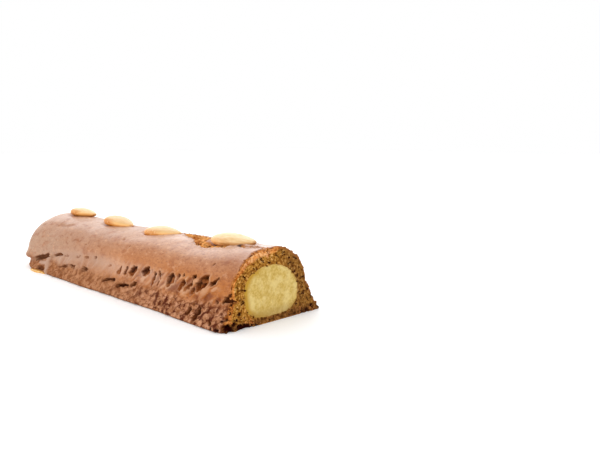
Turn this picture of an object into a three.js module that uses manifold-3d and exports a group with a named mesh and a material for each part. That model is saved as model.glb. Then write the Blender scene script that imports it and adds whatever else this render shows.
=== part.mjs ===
// A filled speculaas bar, cut across at one end: a spiced dough crust with a domed, glazed top and torn
// flanks, a log of almond paste that runs through it, and whole blanched almonds pressed into the crown.
// Millimetres, +Z up. The bar lies along X with its cut face at +X, on the plane Z = 0.
import * as THREE from "three";
import { mergeVertices } from "three/addons/utils/BufferGeometryUtils.js";
import Module from "manifold-3d";

const { lerp, smoothstep, degToRad } = THREE.MathUtils;

// Driving dimensions
const LENGTH = 222; // from the cut face to the tip of the rounded end
const WIDTH = 60; // across the foot
const HEIGHT = 33.2; // from the table to the crown
const CROWN_SAG = 1.6; // how much lower the crown is over the middle of the bar
const BOW = 1; // how far the middle of the bar strays towards its front
const CUT_SLANT = 5; // degrees that the knife leaned, so the cut face looks up a little

// Cross-section: a flared foot, a waist at the torn seam and a domed top
const FOOT_HALF = WIDTH / 2;
const FOOT_LIP = 1.8; // height of the foot's blunt edge
const FOOT_ROUND = 1; // rounding under that edge
const FOOT_SWEEP = 1.5; // how hollow the slope from foot to waist is
const WAIST_CUT = 23; // half width at the seam, at the cut end
const WAIST_END = 26; // and at the rounded end
const DOME_ASIDE = 1.8; // how far the dome and the filling sit towards the front of the foot
const SEAM_CUT = 16; // height of the seam over most of the bar
const SEAM_DROP = 11; // how much lower it runs at the rounded end
const SEAM_FALL = [130, 215]; // where along the bar it comes down
const DOME_POWER = 2.2; // 2 would be an ellipse, more is squarer

// Rounded end: each reach is how far from the tip that outline is full again
const END_POWER = 2.15;
const END_DOME_REACH = 19;
const END_FOOT_REACH = 30;
const END_CROWN_REACH = 26;
const END_BASE_REACH = 4;
const END_TIP_HEIGHT = 7;
const END_FOOT_TUCK = 4; // how far the foot draws in under the dome there
const END_FOOT_TUCK_REACH = 30;

// Torn seam: each tear runs from one place to another, given as distance from the cut face and height,
// and has a half width; the low, level ones are slits in the foot
const NEAR_TEARS = [
  [15.8, 18, 10.8, 21.8, 1.7],
  [25.4, 14.5, 17.6, 20.9, 2.5],
  [34, 12.4, 28.8, 17.2, 1.9],
  [39.9, 12.1, 34.7, 17, 1.9],
  [49.8, 12.6, 42.4, 18.5, 2.3],
  [55.3, 15.2, 56, 18.8, 1.8],
  [62.3, 10.2, 59, 16.6, 1.8],
  [70.5, 13.9, 64.1, 18.3, 2.3],
  [82.1, 13.3, 74.7, 17.7, 2.1],
  [86.7, 12.1, 84.7, 16.4, 1.6],
  [20.4, 7.8, 20.2, 4.5, 2],
  [27.2, 5.2, 27.4, 3, 1.6],
  [9, 11.4, 1, 14.5, 1.7],
  [78.7, 7.7, 75.2, 10.4, 1.5],
  [90.2, 6.4, 80.7, 7.4, 1.6],
  [106.2, 6, 95, 8.8, 1.7],
  [131, 9, 122, 9.4, 1.6],
  [145.5, 8.6, 139, 9, 1.6],
  [159.5, 6.4, 148.3, 7.9, 1.6],
];
const BACK_TEARS = [
  [18.5, 13.6, 12, 18.8, 2.2],
  [29, 13, 24.4, 17.6, 1.7],
  [38.6, 13.2, 32.4, 18, 2.3],
  [47.5, 14, 44, 17.6, 1.7],
  [58, 12.6, 50.8, 17.9, 2.4],
  [66, 13.4, 63.6, 17, 1.6],
  [77.5, 12.8, 70, 17.4, 2.3],
  [86, 13, 82.2, 16.6, 1.7],
  [12, 8, 11.4, 4.4, 1.8],
  [44, 6.6, 35, 8, 1.6],
  [71, 6.2, 61, 7.4, 1.6],
  [98.5, 7, 88, 8.4, 1.7],
  [121, 8, 112, 9.2, 1.6],
  [146, 7.6, 137, 8.6, 1.6],
];
const TEAR_DEPTH = 3;
const FULL_DEPTH_HALF_WIDTH = 2.2; // narrower tears are shallower in proportion

// Seam crevice, crags of the foot and slow unevenness of the whole skin
const CREVICE_DEPTH = 1.3;
const CREVICE_HALF_HEIGHT = 1.5;
const CRAG_HEIGHT = 0.8;
const CRAG_SIZE = 3.6;
const LUMP_HEIGHT = 0.45;
const LUMP_SIZE = 13;
const FOOT_WANDER = 0.9; // how far the foot's edge strays from a straight line
const FOOT_WANDER_SIZE = 21;
const CHIP_DEPTH = 1.5; // crumbled away at the foot's corners by the cut face
const CHIP_REACH = 6;
const CHIP_HEIGHT = 9;
const LIP_OUT = 1.5; // how far the dome's lower edge rolls out at the rounded end
const LIP_HALF_HEIGHT = 2.2;
const LIP_REACH = [180, 208];

// Baking crack along the crown, beside the almond nearest to the cut face
const CRACK_END = 65;
const CRACK_ASIDE = -6.5;
const CRACK_HALF_WIDTH = 3;
const CRACK_DEPTH = 1.3;

// Almond paste: round above its middle, where the dome closed over it, and squarer below, where it lies
const FILLING_HALF_WIDTH = 16.3;
const FILLING_HALF_HEIGHT = 11.5;
const FILLING_MIDDLE = 14.4; // height of its middle line
const FILLING_BASE_POWER = 3.3; // 2 would be an ellipse, more is squarer
const FILLING_END_WALL = 13; // dough left beyond its rounded end
const FILLING_END_ROUND = 11;

// Almonds: distance from the cut face, offset across the bar, turn from the bar's line and how far the end
// by the cut dips, both in degrees, share of full size, and how far the middle stands above the dough
const ALMOND_LENGTH = 25;
const ALMOND_WIDTH = 13.5;
const ALMOND_THICKNESS = 7;
const ALMOND_TAPER = 0.24; // narrowing towards the pointed end
const ALMONDS = [
  { along: 28, aside: 0.8, turn: 16, dip: 0.5, share: 1, proud: 0.85 },
  { along: 85.3, aside: -0.3, turn: 13, dip: 0, share: 1, proud: -0.1 },
  { along: 132.4, aside: 0.3, turn: 4, dip: 5, share: 0.97, proud: 1.1 },
  { along: 183, aside: 2.8, turn: 12, dip: 1, share: 0.88, proud: 1.5 },
];

// Clearance between pieces, overshoot of the shapes that cut, and mesh density
const GAP = 0.3;
const OVERSHOOT = 6;
const TORN_REACH = 92; // the torn stretch has closer rings of points than the rest
const TORN_STATION_STEP = 1.5;
const STATION_STEP = 4;
const END_STATIONS = 12;
const FOOT_STEPS = 9;
const BAND_HEIGHT = 8; // so has the band above the seam
const BAND_STEPS = 7;
const DOME_STEPS = 6;
const BASE_STEPS = 2;

const clamp01 = (v) => Math.min(1, Math.max(0, v));
const fraction = (v) => v - Math.floor(v);

// A repeatable random number from 0 to 1 for each lattice point
function lattice(i, j, seed) {
  return fraction(Math.sin(i * 127.1 + j * 311.7 + seed * 74.7) * 43758.5453);
}

// Smooth noise from -1 to 1 over a square lattice
function ripple(u, v, seed) {
  const i = Math.floor(u);
  const j = Math.floor(v);
  const s = smoothstep(u - i, 0, 1);
  const t = smoothstep(v - j, 0, 1);
  const low = lerp(lattice(i, j, seed), lattice(i + 1, j, seed), s);
  const high = lerp(lattice(i, j + 1, seed), lattice(i + 1, j + 1, seed), s);
  return 2 * lerp(low, high, t) - 1;
}

const seamHeight = (along) => SEAM_CUT - SEAM_DROP * smoothstep(along, ...SEAM_FALL);
const waistHalf = (along) => lerp(WAIST_CUT, WAIST_END, smoothstep(along, ...SEAM_FALL));
const midSpan = (along) => Math.pow(Math.sin(Math.PI * clamp01(along / LENGTH)), 2);
const crownHeight = (along) => HEIGHT - CROWN_SAG * midSpan(along);

// Where the section's middle lies across the bar: the foot's only bows, the dome's is set to the front too
function middleLine(along, height) {
  const domed = smoothstep(height, FOOT_LIP, seamHeight(along));
  return -BOW * midSpan(along) - DOME_ASIDE * domed * endShare(LENGTH - along, END_FOOT_REACH);
}

function footHalf(along, side) {
  return FOOT_HALF + FOOT_WANDER * ripple(along / FOOT_WANDER_SIZE, 0.5, side.seed);
}

// Share of full size that an outline has at a distance from the rounded end's tip
function endShare(fromTip, reach) {
  const left = clamp01(1 - fromTip / reach);
  return Math.pow(1 - Math.pow(left, END_POWER), 1 / END_POWER);
}

// Half of the cross-section as [half width, height] points, from the foot's underside up to the crown
function halfSection(along, side) {
  const seam = seamHeight(along);
  const waist = waistHalf(along);
  const foot = footHalf(along, side);
  const points = [
    [foot - FOOT_ROUND, 0],
    [foot, FOOT_ROUND],
  ];
  for (let i = 1; i <= FOOT_STEPS; i++) {
    const t = i / FOOT_STEPS;
    points.push([waist + (foot - waist) * Math.pow(1 - t, FOOT_SWEEP), lerp(FOOT_LIP, seam, t)]);
  }
  const rise = crownHeight(along) - seam;
  for (let i = 1; i <= BAND_STEPS; i++) {
    const up = (BAND_HEIGHT * i) / BAND_STEPS;
    points.push([waist * Math.pow(1 - Math.pow(up / rise, DOME_POWER), 1 / DOME_POWER), seam + up]);
  }
  const start = Math.asin(Math.pow(BAND_HEIGHT / rise, DOME_POWER / 2));
  for (let i = 1; i <= DOME_STEPS; i++) {
    const angle = lerp(start, Math.PI / 2, i / DOME_STEPS);
    points.push([
      waist * Math.pow(Math.max(0, Math.cos(angle)), 2 / DOME_POWER),
      seam + rise * Math.pow(Math.sin(angle), 2 / DOME_POWER),
    ]);
  }
  return points;
}

// A section point brought in towards the tip of the rounded end, with how far it draws back from the tip
function roundedEnd([half, height], fromTip) {
  const reach = height > END_TIP_HEIGHT ? END_CROWN_REACH : END_BASE_REACH;
  const low = 1 - smoothstep(height, 0, END_TIP_HEIGHT);
  return {
    half: half * endShare(fromTip, lerp(END_DOME_REACH, END_FOOT_REACH, low)),
    height: lerp(END_TIP_HEIGHT, height, endShare(fromTip, reach)),
    drawnBack: END_FOOT_TUCK * low * (1 - smoothstep(fromTip, 0, END_FOOT_TUCK_REACH)),
  };
}

function tearDepth(along, height, side) {
  let depth = 0;
  for (const [fromAlong, fromHeight, toAlong, toHeight, halfWidth] of side.tears) {
    const run = toAlong - fromAlong;
    const rise = toHeight - fromHeight;
    const ahead = (along - fromAlong) * run + (height - fromHeight) * rise;
    const t = clamp01(ahead / (run * run + rise * rise));
    const off = Math.hypot(along - fromAlong - t * run, height - fromHeight - t * rise) / halfWidth;
    const share = Math.min(1, halfWidth / FULL_DEPTH_HALF_WIDTH);
    depth = Math.max(depth, TEAR_DEPTH * share * (1 - smoothstep(off, 0.2, 1)));
  }
  return depth;
}

function creviceDepth(along, height, side) {
  const off = (height - seamHeight(along)) / CREVICE_HALF_HEIGHT;
  return CREVICE_DEPTH * Math.exp(-off * off) * clamp01(0.5 + ripple(along / 7, 3.5, side.seed));
}

function lipHeight(along, height) {
  const off = (height - seamHeight(along) - LIP_HALF_HEIGHT) / LIP_HALF_HEIGHT;
  return LIP_OUT * Math.exp(-off * off) * smoothstep(along, ...LIP_REACH);
}

function chipDepth(along, height) {
  return CHIP_DEPTH * (1 - smoothstep(along, 0, CHIP_REACH)) * (1 - smoothstep(height, 0, CHIP_HEIGHT));
}

function crackDepth(along, across) {
  const wander = 1.2 * ripple(along / 8, 7.5, 1);
  const off = (across - CRACK_ASIDE - wander) / CRACK_HALF_WIDTH;
  const torn = clamp01(0.75 + 0.6 * ripple(along / 6, 9.5, 1));
  return CRACK_DEPTH * torn * Math.exp(-off * off) * (1 - smoothstep(along, CRACK_END - 14, CRACK_END));
}

// How far the baked skin stands out from the smooth section
function relief(along, across, height, girth, side) {
  const foot = 1 - smoothstep(height, seamHeight(along) - 4, seamHeight(along) + 1);
  const lumps = LUMP_HEIGHT * ripple(along / LUMP_SIZE, girth / LUMP_SIZE, side.seed + 10);
  const crags = CRAG_HEIGHT * ripple(along / CRAG_SIZE, girth / CRAG_SIZE, side.seed + 20);
  const torn = tearDepth(along, height, side) + creviceDepth(along, height, side);
  const lost = torn + crackDepth(along, across) + chipDepth(along, height);
  return (lumps + foot * crags + lipHeight(along, height) - lost) * smoothstep(height, 0, 2);
}

// Distances from the cut face at which the skin has a ring of points, the last ones bunched at the tip
function stations() {
  const straight = LENGTH - END_CROWN_REACH;
  const list = [];
  for (let along = -OVERSHOOT; along < straight; ) {
    list.push(along);
    along += along < TORN_REACH ? TORN_STATION_STEP : STATION_STEP;
  }
  for (let i = 0; i < END_STATIONS; i++) {
    list.push(straight + END_CROWN_REACH * Math.sin((Math.PI / 2) * (i / END_STATIONS)));
  }
  return list;
}

const SIDES = [
  { sign: -1, seed: 1, tears: NEAR_TEARS },
  { sign: 1, seed: 2, tears: BACK_TEARS },
];

// One closed ring of skin points at a distance from the cut face, each with what the relief needs to know
function ring(along) {
  const halves = SIDES.map((side) => {
    let girth = 0;
    let last = null;
    return halfSection(along, side).map((point) => {
      const { half, height, drawnBack } = roundedEnd(point, LENGTH - along);
      if (last) girth += Math.hypot(half - last[0], height - last[1]);
      last = [half, height];
      const across = side.sign * half + middleLine(along, height);
      const position = new THREE.Vector3(LENGTH / 2 - along + drawnBack, across, height);
      return { position, along, girth, across: side.sign * point[0], side };
    });
  });
  const [near, back] = halves;
  const underside = [];
  for (let i = 1; i < BASE_STEPS; i++) {
    const position = back[0].position.clone().lerp(near[0].position, i / BASE_STEPS);
    underside.push({ position, along, girth: 0, across: 0, side: SIDES[0] });
  }
  return [...near, ...back.slice(0, -1).reverse(), ...underside];
}

// Rings of points as a closed surface, with a point at each end
function loft(rings, firstTip, lastTip) {
  const count = rings[0].length;
  const points = [...rings.flat(), firstTip, lastTip];
  const index = [];
  for (let r = 0; r + 1 < rings.length; r++) {
    for (let c = 0; c < count; c++) {
      const a = r * count + c;
      const b = r * count + ((c + 1) % count);
      index.push(a, b, a + count, b, b + count, a + count);
    }
  }
  const lastRing = (rings.length - 1) * count;
  for (let c = 0; c < count; c++) {
    const next = (c + 1) % count;
    index.push(points.length - 2, next, c, points.length - 1, lastRing + c, lastRing + next);
  }
  const geometry = new THREE.BufferGeometry().setFromPoints(points);
  geometry.setIndex(index);
  return geometry;
}

// The dough's outer skin, with its relief, running past the cut face
function crustSkin() {
  const rings = stations().map(ring);
  const positions = rings.map((r) => r.map((p) => p.position));
  const tip = new THREE.Vector3(-LENGTH / 2, 0, END_TIP_HEIGHT);
  const start = new THREE.Vector3(LENGTH / 2 + OVERSHOOT, 0, HEIGHT / 2);
  const smooth = loft(positions, start, tip);
  smooth.computeVertexNormals();
  const normals = smooth.getAttribute("normal");
  const count = rings[0].length;
  rings.forEach((points, r) => {
    points.forEach((p, c) => {
      const out = relief(p.along, p.across, p.position.z, p.girth, p.side);
      const fade = smoothstep(LENGTH - p.along, 0, END_BASE_REACH);
      const normal = new THREE.Vector3().fromBufferAttribute(normals, r * count + c);
      p.position.addScaledVector(normal, out * fade);
      p.position.z = Math.max(0, p.position.z);
    });
  });
  return loft(positions, start, tip);
}

// Makes the lower half of a round log squarer; the log runs along Y and its sections are circles
function squareBelow(geometry, power) {
  const position = geometry.getAttribute("position");
  for (let i = 0; i < position.count; i++) {
    const across = position.getX(i);
    const up = position.getZ(i);
    const radius = Math.hypot(across, up);
    if (up >= 0 || radius === 0) continue;
    const bulge = (share) => radius * Math.sign(share) * Math.pow(Math.abs(share), 2 / power);
    position.setX(i, bulge(across / radius));
    position.setZ(i, bulge(up / radius));
  }
}

// A log with one rounded end, from past the cut face to the wall of dough at the other end
function fillingLog(grow) {
  const reach = LENGTH - FILLING_END_WALL + grow;
  const capSteps = 6;
  const profile = [new THREE.Vector2(0, -OVERSHOOT), new THREE.Vector2(1, -OVERSHOOT)];
  for (let i = 0; i <= capSteps; i++) {
    const angle = (Math.PI / 2) * (i / capSteps);
    const across = i === capSteps ? 0 : Math.cos(angle);
    profile.push(new THREE.Vector2(across, reach - FILLING_END_ROUND * (1 - Math.sin(angle))));
  }
  const geometry = new THREE.LatheGeometry(profile, 40);
  squareBelow(geometry, FILLING_BASE_POWER);
  geometry.scale(FILLING_HALF_WIDTH + grow, 1, FILLING_HALF_HEIGHT + grow);
  geometry.rotateZ(Math.PI / 2);
  geometry.translate(LENGTH / 2, -DOME_ASIDE, FILLING_MIDDLE);
  return geometry;
}

// A whole blanched almond, its pointed end towards +X
function almondShape(grow, share) {
  const geometry = new THREE.SphereGeometry(1, 16, 10);
  geometry.rotateZ(-Math.PI / 2);
  const position = geometry.getAttribute("position");
  for (let i = 0; i < position.count; i++) {
    const u = position.getX(i);
    const narrow = 1 - ALMOND_TAPER * u - 0.1 * u * u;
    position.setXYZ(
      i,
      u * ((ALMOND_LENGTH * share) / 2 + grow),
      position.getY(i) * narrow * ((ALMOND_WIDTH * share) / 2 + grow),
      position.getZ(i) * narrow * ((ALMOND_THICKNESS * share) / 2 + grow),
    );
  }
  return geometry;
}

// Height of the smooth dome at a place on the bar, across being measured from the bar's middle line
function domeHeight(along, across) {
  const seam = seamHeight(along);
  const off = Math.pow(Math.abs(across) / waistHalf(along), DOME_POWER);
  const height = seam + (crownHeight(along) - seam) * Math.pow(1 - off, 1 / DOME_POWER);
  return lerp(END_TIP_HEIGHT, height, endShare(LENGTH - along, END_CROWN_REACH));
}

function almondPlace({ along, aside, turn, dip, proud }) {
  const place = new THREE.Group();
  const height = domeHeight(along, aside) + proud;
  place.position.set(LENGTH / 2 - along, aside + middleLine(along, HEIGHT), height);
  const probe = 4;
  const rollAcross = (domeHeight(along, aside + probe) - domeHeight(along, aside - probe)) / (2 * probe);
  const dropAlong = (domeHeight(along + probe, aside) - domeHeight(along - probe, aside)) / (2 * probe);
  place.rotation.set(Math.atan(rollAcross), Math.atan(dropAlong) + degToRad(dip), degToRad(turn), "XYZ");
  place.updateMatrix();
  return place;
}

const wasm = await Module();
wasm.setup();

// A closed three.js geometry as a solid that can be cut and joined
function solidOf(geometry) {
  const bare = geometry.clone();
  bare.deleteAttribute("normal");
  bare.deleteAttribute("uv");
  const merged = mergeVertices(bare, 1e-4);
  return new wasm.Manifold(
    new wasm.Mesh({
      numProp: 3,
      vertProperties: new Float32Array(merged.getAttribute("position").array),
      triVerts: new Uint32Array(merged.index.array),
    }),
  );
}

function geometryOf(solid) {
  const mesh = solid.getMesh();
  const geometry = new THREE.BufferGeometry();
  geometry.setAttribute("position", new THREE.BufferAttribute(mesh.vertProperties, 3));
  geometry.setIndex(new THREE.BufferAttribute(mesh.triVerts, 1));
  geometry.computeVertexNormals();
  return geometry;
}

// Everything beyond the cut face
function knifeSide() {
  const block = new THREE.BoxGeometry(4 * OVERSHOOT, 2 * WIDTH, 4 * HEIGHT);
  block.translate(2 * OVERSHOOT, 0, 0);
  block.rotateY(-degToRad(CUT_SLANT));
  block.translate(LENGTH / 2, 0, 0);
  return solidOf(block);
}

function crustGeometry() {
  let solid = solidOf(crustSkin()).subtract(knifeSide()).subtract(solidOf(fillingLog(GAP)));
  for (const almond of ALMONDS) {
    const bed = almondShape(GAP, almond.share).applyMatrix4(almondPlace(almond).matrix);
    solid = solid.subtract(solidOf(bed));
  }
  return geometryOf(solid);
}

function fillingGeometry() {
  return geometryOf(solidOf(fillingLog(0)).subtract(knifeSide()));
}

const crustFinish = new THREE.MeshStandardMaterial({ color: 0xa8683f, roughness: 0.45, metalness: 0 });
const fillingFinish = new THREE.MeshStandardMaterial({ color: 0xe0c27c, roughness: 0.7, metalness: 0 });
const almondFinish = new THREE.MeshStandardMaterial({ color: 0xf0c688, roughness: 0.5, metalness: 0 });

function namedMesh(name, geometry, material) {
  const mesh = new THREE.Mesh(geometry, material);
  mesh.name = name;
  return mesh;
}

const bar = new THREE.Group();
bar.add(namedMesh("crust", crustGeometry(), crustFinish));
bar.add(namedMesh("filling", fillingGeometry(), fillingFinish));
ALMONDS.forEach((almond, i) => {
  const place = almondPlace(almond);
  place.add(namedMesh(`almond_${i + 1}`, almondShape(0, almond.share), almondFinish));
  bar.add(place);
});

// The footprint's middle is the origin
const footprint = new THREE.Box3().setFromObject(bar, true);
bar.children.forEach((child) => {
  child.position.x -= (footprint.min.x + footprint.max.x) / 2;
  child.position.y -= (footprint.min.y + footprint.max.y) / 2;
});

export default bar;
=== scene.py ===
# %% [markdown]
# # A filled speculaas bar
#
# A speculaas bar is a spiced dough log round a core of almond paste, glazed with egg and set with blanched
# almonds. This one has been cut across at one end. The lesson builds it in this order: the table and the
# light, the baked crust, the paste, the almonds, and last the crumbs and the glaze that ran down.
#
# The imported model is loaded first. Its solids fix where every piece goes, so nothing has to be fitted by
# eye.

# %% Load the frame
import math
from types import SimpleNamespace

import bpy
import numpy as np
from mathutils import Matrix, Vector


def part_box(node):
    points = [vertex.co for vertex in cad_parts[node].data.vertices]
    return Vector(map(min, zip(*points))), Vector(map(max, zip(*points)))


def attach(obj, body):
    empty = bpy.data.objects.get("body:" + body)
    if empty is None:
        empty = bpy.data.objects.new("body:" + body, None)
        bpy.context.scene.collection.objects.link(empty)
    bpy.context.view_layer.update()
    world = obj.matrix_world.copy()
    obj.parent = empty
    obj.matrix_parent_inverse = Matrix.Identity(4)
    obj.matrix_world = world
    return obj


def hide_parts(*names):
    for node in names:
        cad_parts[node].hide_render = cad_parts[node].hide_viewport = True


MM = 0.001  # sizes are in millimetres unless a comment says otherwise, and Blender works in metres


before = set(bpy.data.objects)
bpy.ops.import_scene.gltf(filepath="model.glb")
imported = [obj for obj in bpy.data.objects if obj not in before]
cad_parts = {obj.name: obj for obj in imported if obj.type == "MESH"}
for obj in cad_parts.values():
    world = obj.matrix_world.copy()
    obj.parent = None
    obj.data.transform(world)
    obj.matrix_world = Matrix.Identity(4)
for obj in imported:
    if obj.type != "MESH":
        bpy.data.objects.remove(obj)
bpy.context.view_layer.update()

# %% [markdown]
# ## Camera, table and light
#
# The bar is seen from in front of its cut end, from a little above. A camera could be placed by trial, but
# here its place and lens were worked out from the straight edges of the bar, so its picture lines up with
# the solids.
#
# The table is white and so is everything round it. A bright, even world does most of the lighting, which
# keeps the shadows on the table faint. Lamps alone would make them hard. A broad lamp behind and above puts
# the sheen on the glaze, and a weaker one lights the near flank.

# %% Camera
CAMERA_PLACE = (314.5, -190.8, 82.5)
CAMERA_YAW = 44.56  # degrees, turning left from straight ahead
CAMERA_PITCH = 7.86  # degrees below the horizon
SENSOR_WIDTH = 36
FOCAL_SHARE = 630 / 600  # focal length as a share of the picture's width
CLIP_START = 0.01  # metres


def placed(name, data):
    """A new object in the scene."""
    made = bpy.data.objects.new(name, data)
    bpy.context.collection.objects.link(made)
    return made


camera = placed("camera", bpy.data.cameras.new("camera"))
camera.location = Vector(CAMERA_PLACE) * MM
camera.rotation_euler = (math.radians(90 - CAMERA_PITCH), 0, math.radians(CAMERA_YAW))
camera.data.sensor_width = SENSOR_WIDTH
camera.data.lens = SENSOR_WIDTH * FOCAL_SHARE
camera.data.clip_start = CLIP_START
bpy.context.scene.camera = camera
print("camera at", [round(v, 3) for v in camera.location], "lens", round(camera.data.lens, 1))

# %% World and lamps
WHITE = (1, 1, 1, 1)
WORLD_STRENGTH = 1.0
LAMPS = {  # place and size in metres, watts
    "key": ((-0.56, 0.36, 0.47), 0.8, 2.7),
    "fill": ((-0.45, -0.65, 0.4), 0.6, 1.0),
}

scene = bpy.context.scene
scene.view_settings.view_transform = "Standard"
scene.world = bpy.data.worlds.new("white room")
scene.world.use_nodes = True
room = scene.world.node_tree.nodes["Background"]
room.inputs["Color"].default_value = WHITE
room.inputs["Strength"].default_value = WORLD_STRENGTH
for name, (place, size, watts) in LAMPS.items():
    lamp = placed(name, bpy.data.lights.new(name, "AREA"))
    lamp.data.size = size
    lamp.data.energy = watts
    lamp.location = place
    lamp.rotation_euler = (-Vector(place)).to_track_quat("-Z", "Y").to_euler()
print("lamps:", list(LAMPS))

# %% [markdown]
# ## Writing nodes as sums
#
# Materials and Geometry Nodes are both trees of small nodes. Adding each node by hand hides the idea behind
# a wall of links, so one small class wraps a socket. Adding, subtracting or multiplying two wrapped sockets
# adds the Math node for it, and the one method `node` adds any other node: its settings first, then its
# sockets.

# %% The socket wrapper
class Wire:
    """An output socket of a node tree, which can be used in Python sums."""

    def __init__(self, tree, socket=None):
        self.tree = tree
        self.socket = socket

    def node(self, kind, settings=None, sockets=None, out=0):
        """Adds a node, links its sockets or sets values in them, and gives one of its outputs."""
        made = self.tree.nodes.new(kind)
        for name, value in (settings or {}).items():
            setattr(made, name, value)
        for name, value in (sockets or {}).items():
            if isinstance(value, Wire):
                self.tree.links.new(value.socket, made.inputs[name])
            else:
                made.inputs[name].default_value = value
        return Wire(self.tree, made.outputs[out])

    def maths(self, operation, first, second):
        return self.node("ShaderNodeMath", {"operation": operation}, {0: first, 1: second})

    def __add__(self, other):
        return self.maths("ADD", self, other)

    def __sub__(self, other):
        return self.maths("SUBTRACT", self, other)

    def __rsub__(self, other):
        return self.maths("SUBTRACT", other, self)

    def __mul__(self, other):
        return self.maths("MULTIPLY", self, other)

    def __truediv__(self, other):
        return self.maths("DIVIDE", self, other)

    __radd__ = __add__
    __rmul__ = __mul__

    def larger(self, other):
        return self.maths("MAXIMUM", self, other)

    def ease(self, low, high):
        """0 below low and 1 above high, or the other way round, with a soft change between."""
        start, end = (0, 1) if low < high else (1, 0)
        sockets = {0: self, 1: min(low, high), 2: max(low, high), 3: start, 4: end}
        return self.node("ShaderNodeMapRange", {"interpolation_type": "SMOOTHSTEP"}, sockets)

    def vector(self, operation, other):
        """A sum of vectors: with another vector, or with a factor to scale by."""
        second = "Scale" if operation == "SCALE" else 1
        return self.node("ShaderNodeVectorMath", {"operation": operation}, {0: self, second: other})

    def axis(self, number):
        """One coordinate of a place."""
        return self.node("ShaderNodeSeparateXYZ", None, {0: self}, number)


print("operators on sockets: + - * /")


# %% [markdown]
# ## Colours and patterns
#
# Colours are picked on screen as bytes from 0 to 255, which is how a picture stores them. Blender works in
# linear light, so a small function turns one into the other. Mixing is done by Mix nodes, because a Math
# node would make a colour grey. A finish is a base colour with others laid over it in turn, each with a
# share that says where it shows. Most shares come from noise, which has no seams and fits every side of the
# bar.

# %% Colour helpers
def tint(red, green, blue):
    """A screen colour in bytes as linear light."""
    def linear(byte):
        share = byte / 255
        return share / 12.92 if share <= 0.04045 else ((share + 0.055) / 1.055) ** 2.4
    return (linear(red), linear(green), linear(blue), 1)


def blend(share, first, second):
    """The first colour where share is 0, the second where it is 1."""
    return share.node("ShaderNodeMix", {"data_type": "RGBA"}, {0: share, 6: first, 7: second}, out=2)


def layered(colour, *layers):
    """A colour with others laid over it in turn. A layer is the share that covers, and its colour."""
    for share, cover in layers:
        colour = blend(share, colour, cover)
    return colour


print("glaze brown in linear light:", [round(v, 3) for v in tint(190, 126, 84)])


# %% Pattern helpers
def noise(place, size, detail=2, roughness=0.5, seed=0, out=0):
    """Soft noise from 0 to 1 with features of about the size given in millimetres."""
    sockets = {"Vector": place, "W": seed, "Scale": 1 / (size * MM), "Detail": detail, "Roughness": roughness}
    return place.node("ShaderNodeTexNoise", {"noise_dimensions": "4D"}, sockets, out)


def cells(place, size):
    """Distance to the nearest of many scattered points, which lie about the size in millimetres apart."""
    return place.node("ShaderNodeTexVoronoi", None, {"Vector": place, "Scale": 1 / (size * MM)}, "Distance")


def stretched(place, turn, scale):
    """Coordinates turned by degrees and scaled, for a pattern with a grain."""
    sockets = {"Vector": place, "Rotation": tuple(math.radians(angle) for angle in turn)}
    turned = place.node("ShaderNodeVectorRotate", {"rotation_type": "EULER_XYZ"}, sockets)
    return turned.vector("MULTIPLY", scale)


print("patterns: noise, cells and a stretched grain")


# %% Start of a finish
def new_finish(name):
    """An empty material, its shader, and a wire with the piece's own coordinates."""
    material = bpy.data.materials.new(name)
    material.use_nodes = True
    place = Wire(material.node_tree).node("ShaderNodeTexCoord", out="Object")
    return material, material.node_tree.nodes["Principled BSDF"], place


def feed(shader, **sockets):
    """Links what changes over the surface to the shader's sockets, and sets what is the same all over."""
    for name, value in sockets.items():
        socket = shader.inputs[name.replace("_", " ")]
        if isinstance(value, Wire):
            value.tree.links.new(value.socket, socket)
        else:
            socket.default_value = value


def bumped(height, distance, strength):
    """A Normal from a height, with the depth of the relief in millimetres."""
    sockets = {"Height": height, "Distance": distance * MM, "Strength": strength}
    return height.node("ShaderNodeBump", None, sockets)


print("helpers for finishes ready")


# %% [markdown]
# The table is a large white sheet. A touch of noise in its colour keeps it from being a flat digital white.

# %% Table
TABLE_HALF = 3.0  # metres
TABLE_GLOW = 0.1  # a table lit from below has hardly any shadow on it
TABLE_GREYS = (0.97, 0.985)  # in linear light

corners = [(x * TABLE_HALF, y * TABLE_HALF, 0) for x, y in ((-1, -1), (1, -1), (1, 1), (-1, 1))]
table_mesh = bpy.data.meshes.new("table")
table_mesh.from_pydata(corners, [], [(0, 1, 2, 3)])
table = placed("table", table_mesh)
table_white, shader, spot = new_finish("table white")
darker, paler = ((grey, grey, grey, 1) for grey in TABLE_GREYS)
feed(shader, Base_Color=blend(noise(spot, 40), darker, paler), Roughness=0.6, Specular_IOR_Level=0.1)
feed(shader, Emission_Color=WHITE, Emission_Strength=TABLE_GLOW)
table_mesh.materials.append(table_white)
print("table", 2 * TABLE_HALF, "m across")

# %% [markdown]
# ## The crust's form
#
# The crust is a loft: one cross-section, drawn again and again along the bar. The section is a flared foot
# that spread on the baking sheet, a waist where the skin tore, and a domed top. Sculpting it by hand would
# work too, but a rule has three gains: it agrees with the solid, every tear can be placed by its distance
# from the cut and its height, and masks such as "this is foot" or "this is torn" come for free and can
# colour the surface later.
#
# Sizes are in millimetres and "along" is the distance from the cut face.

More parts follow.
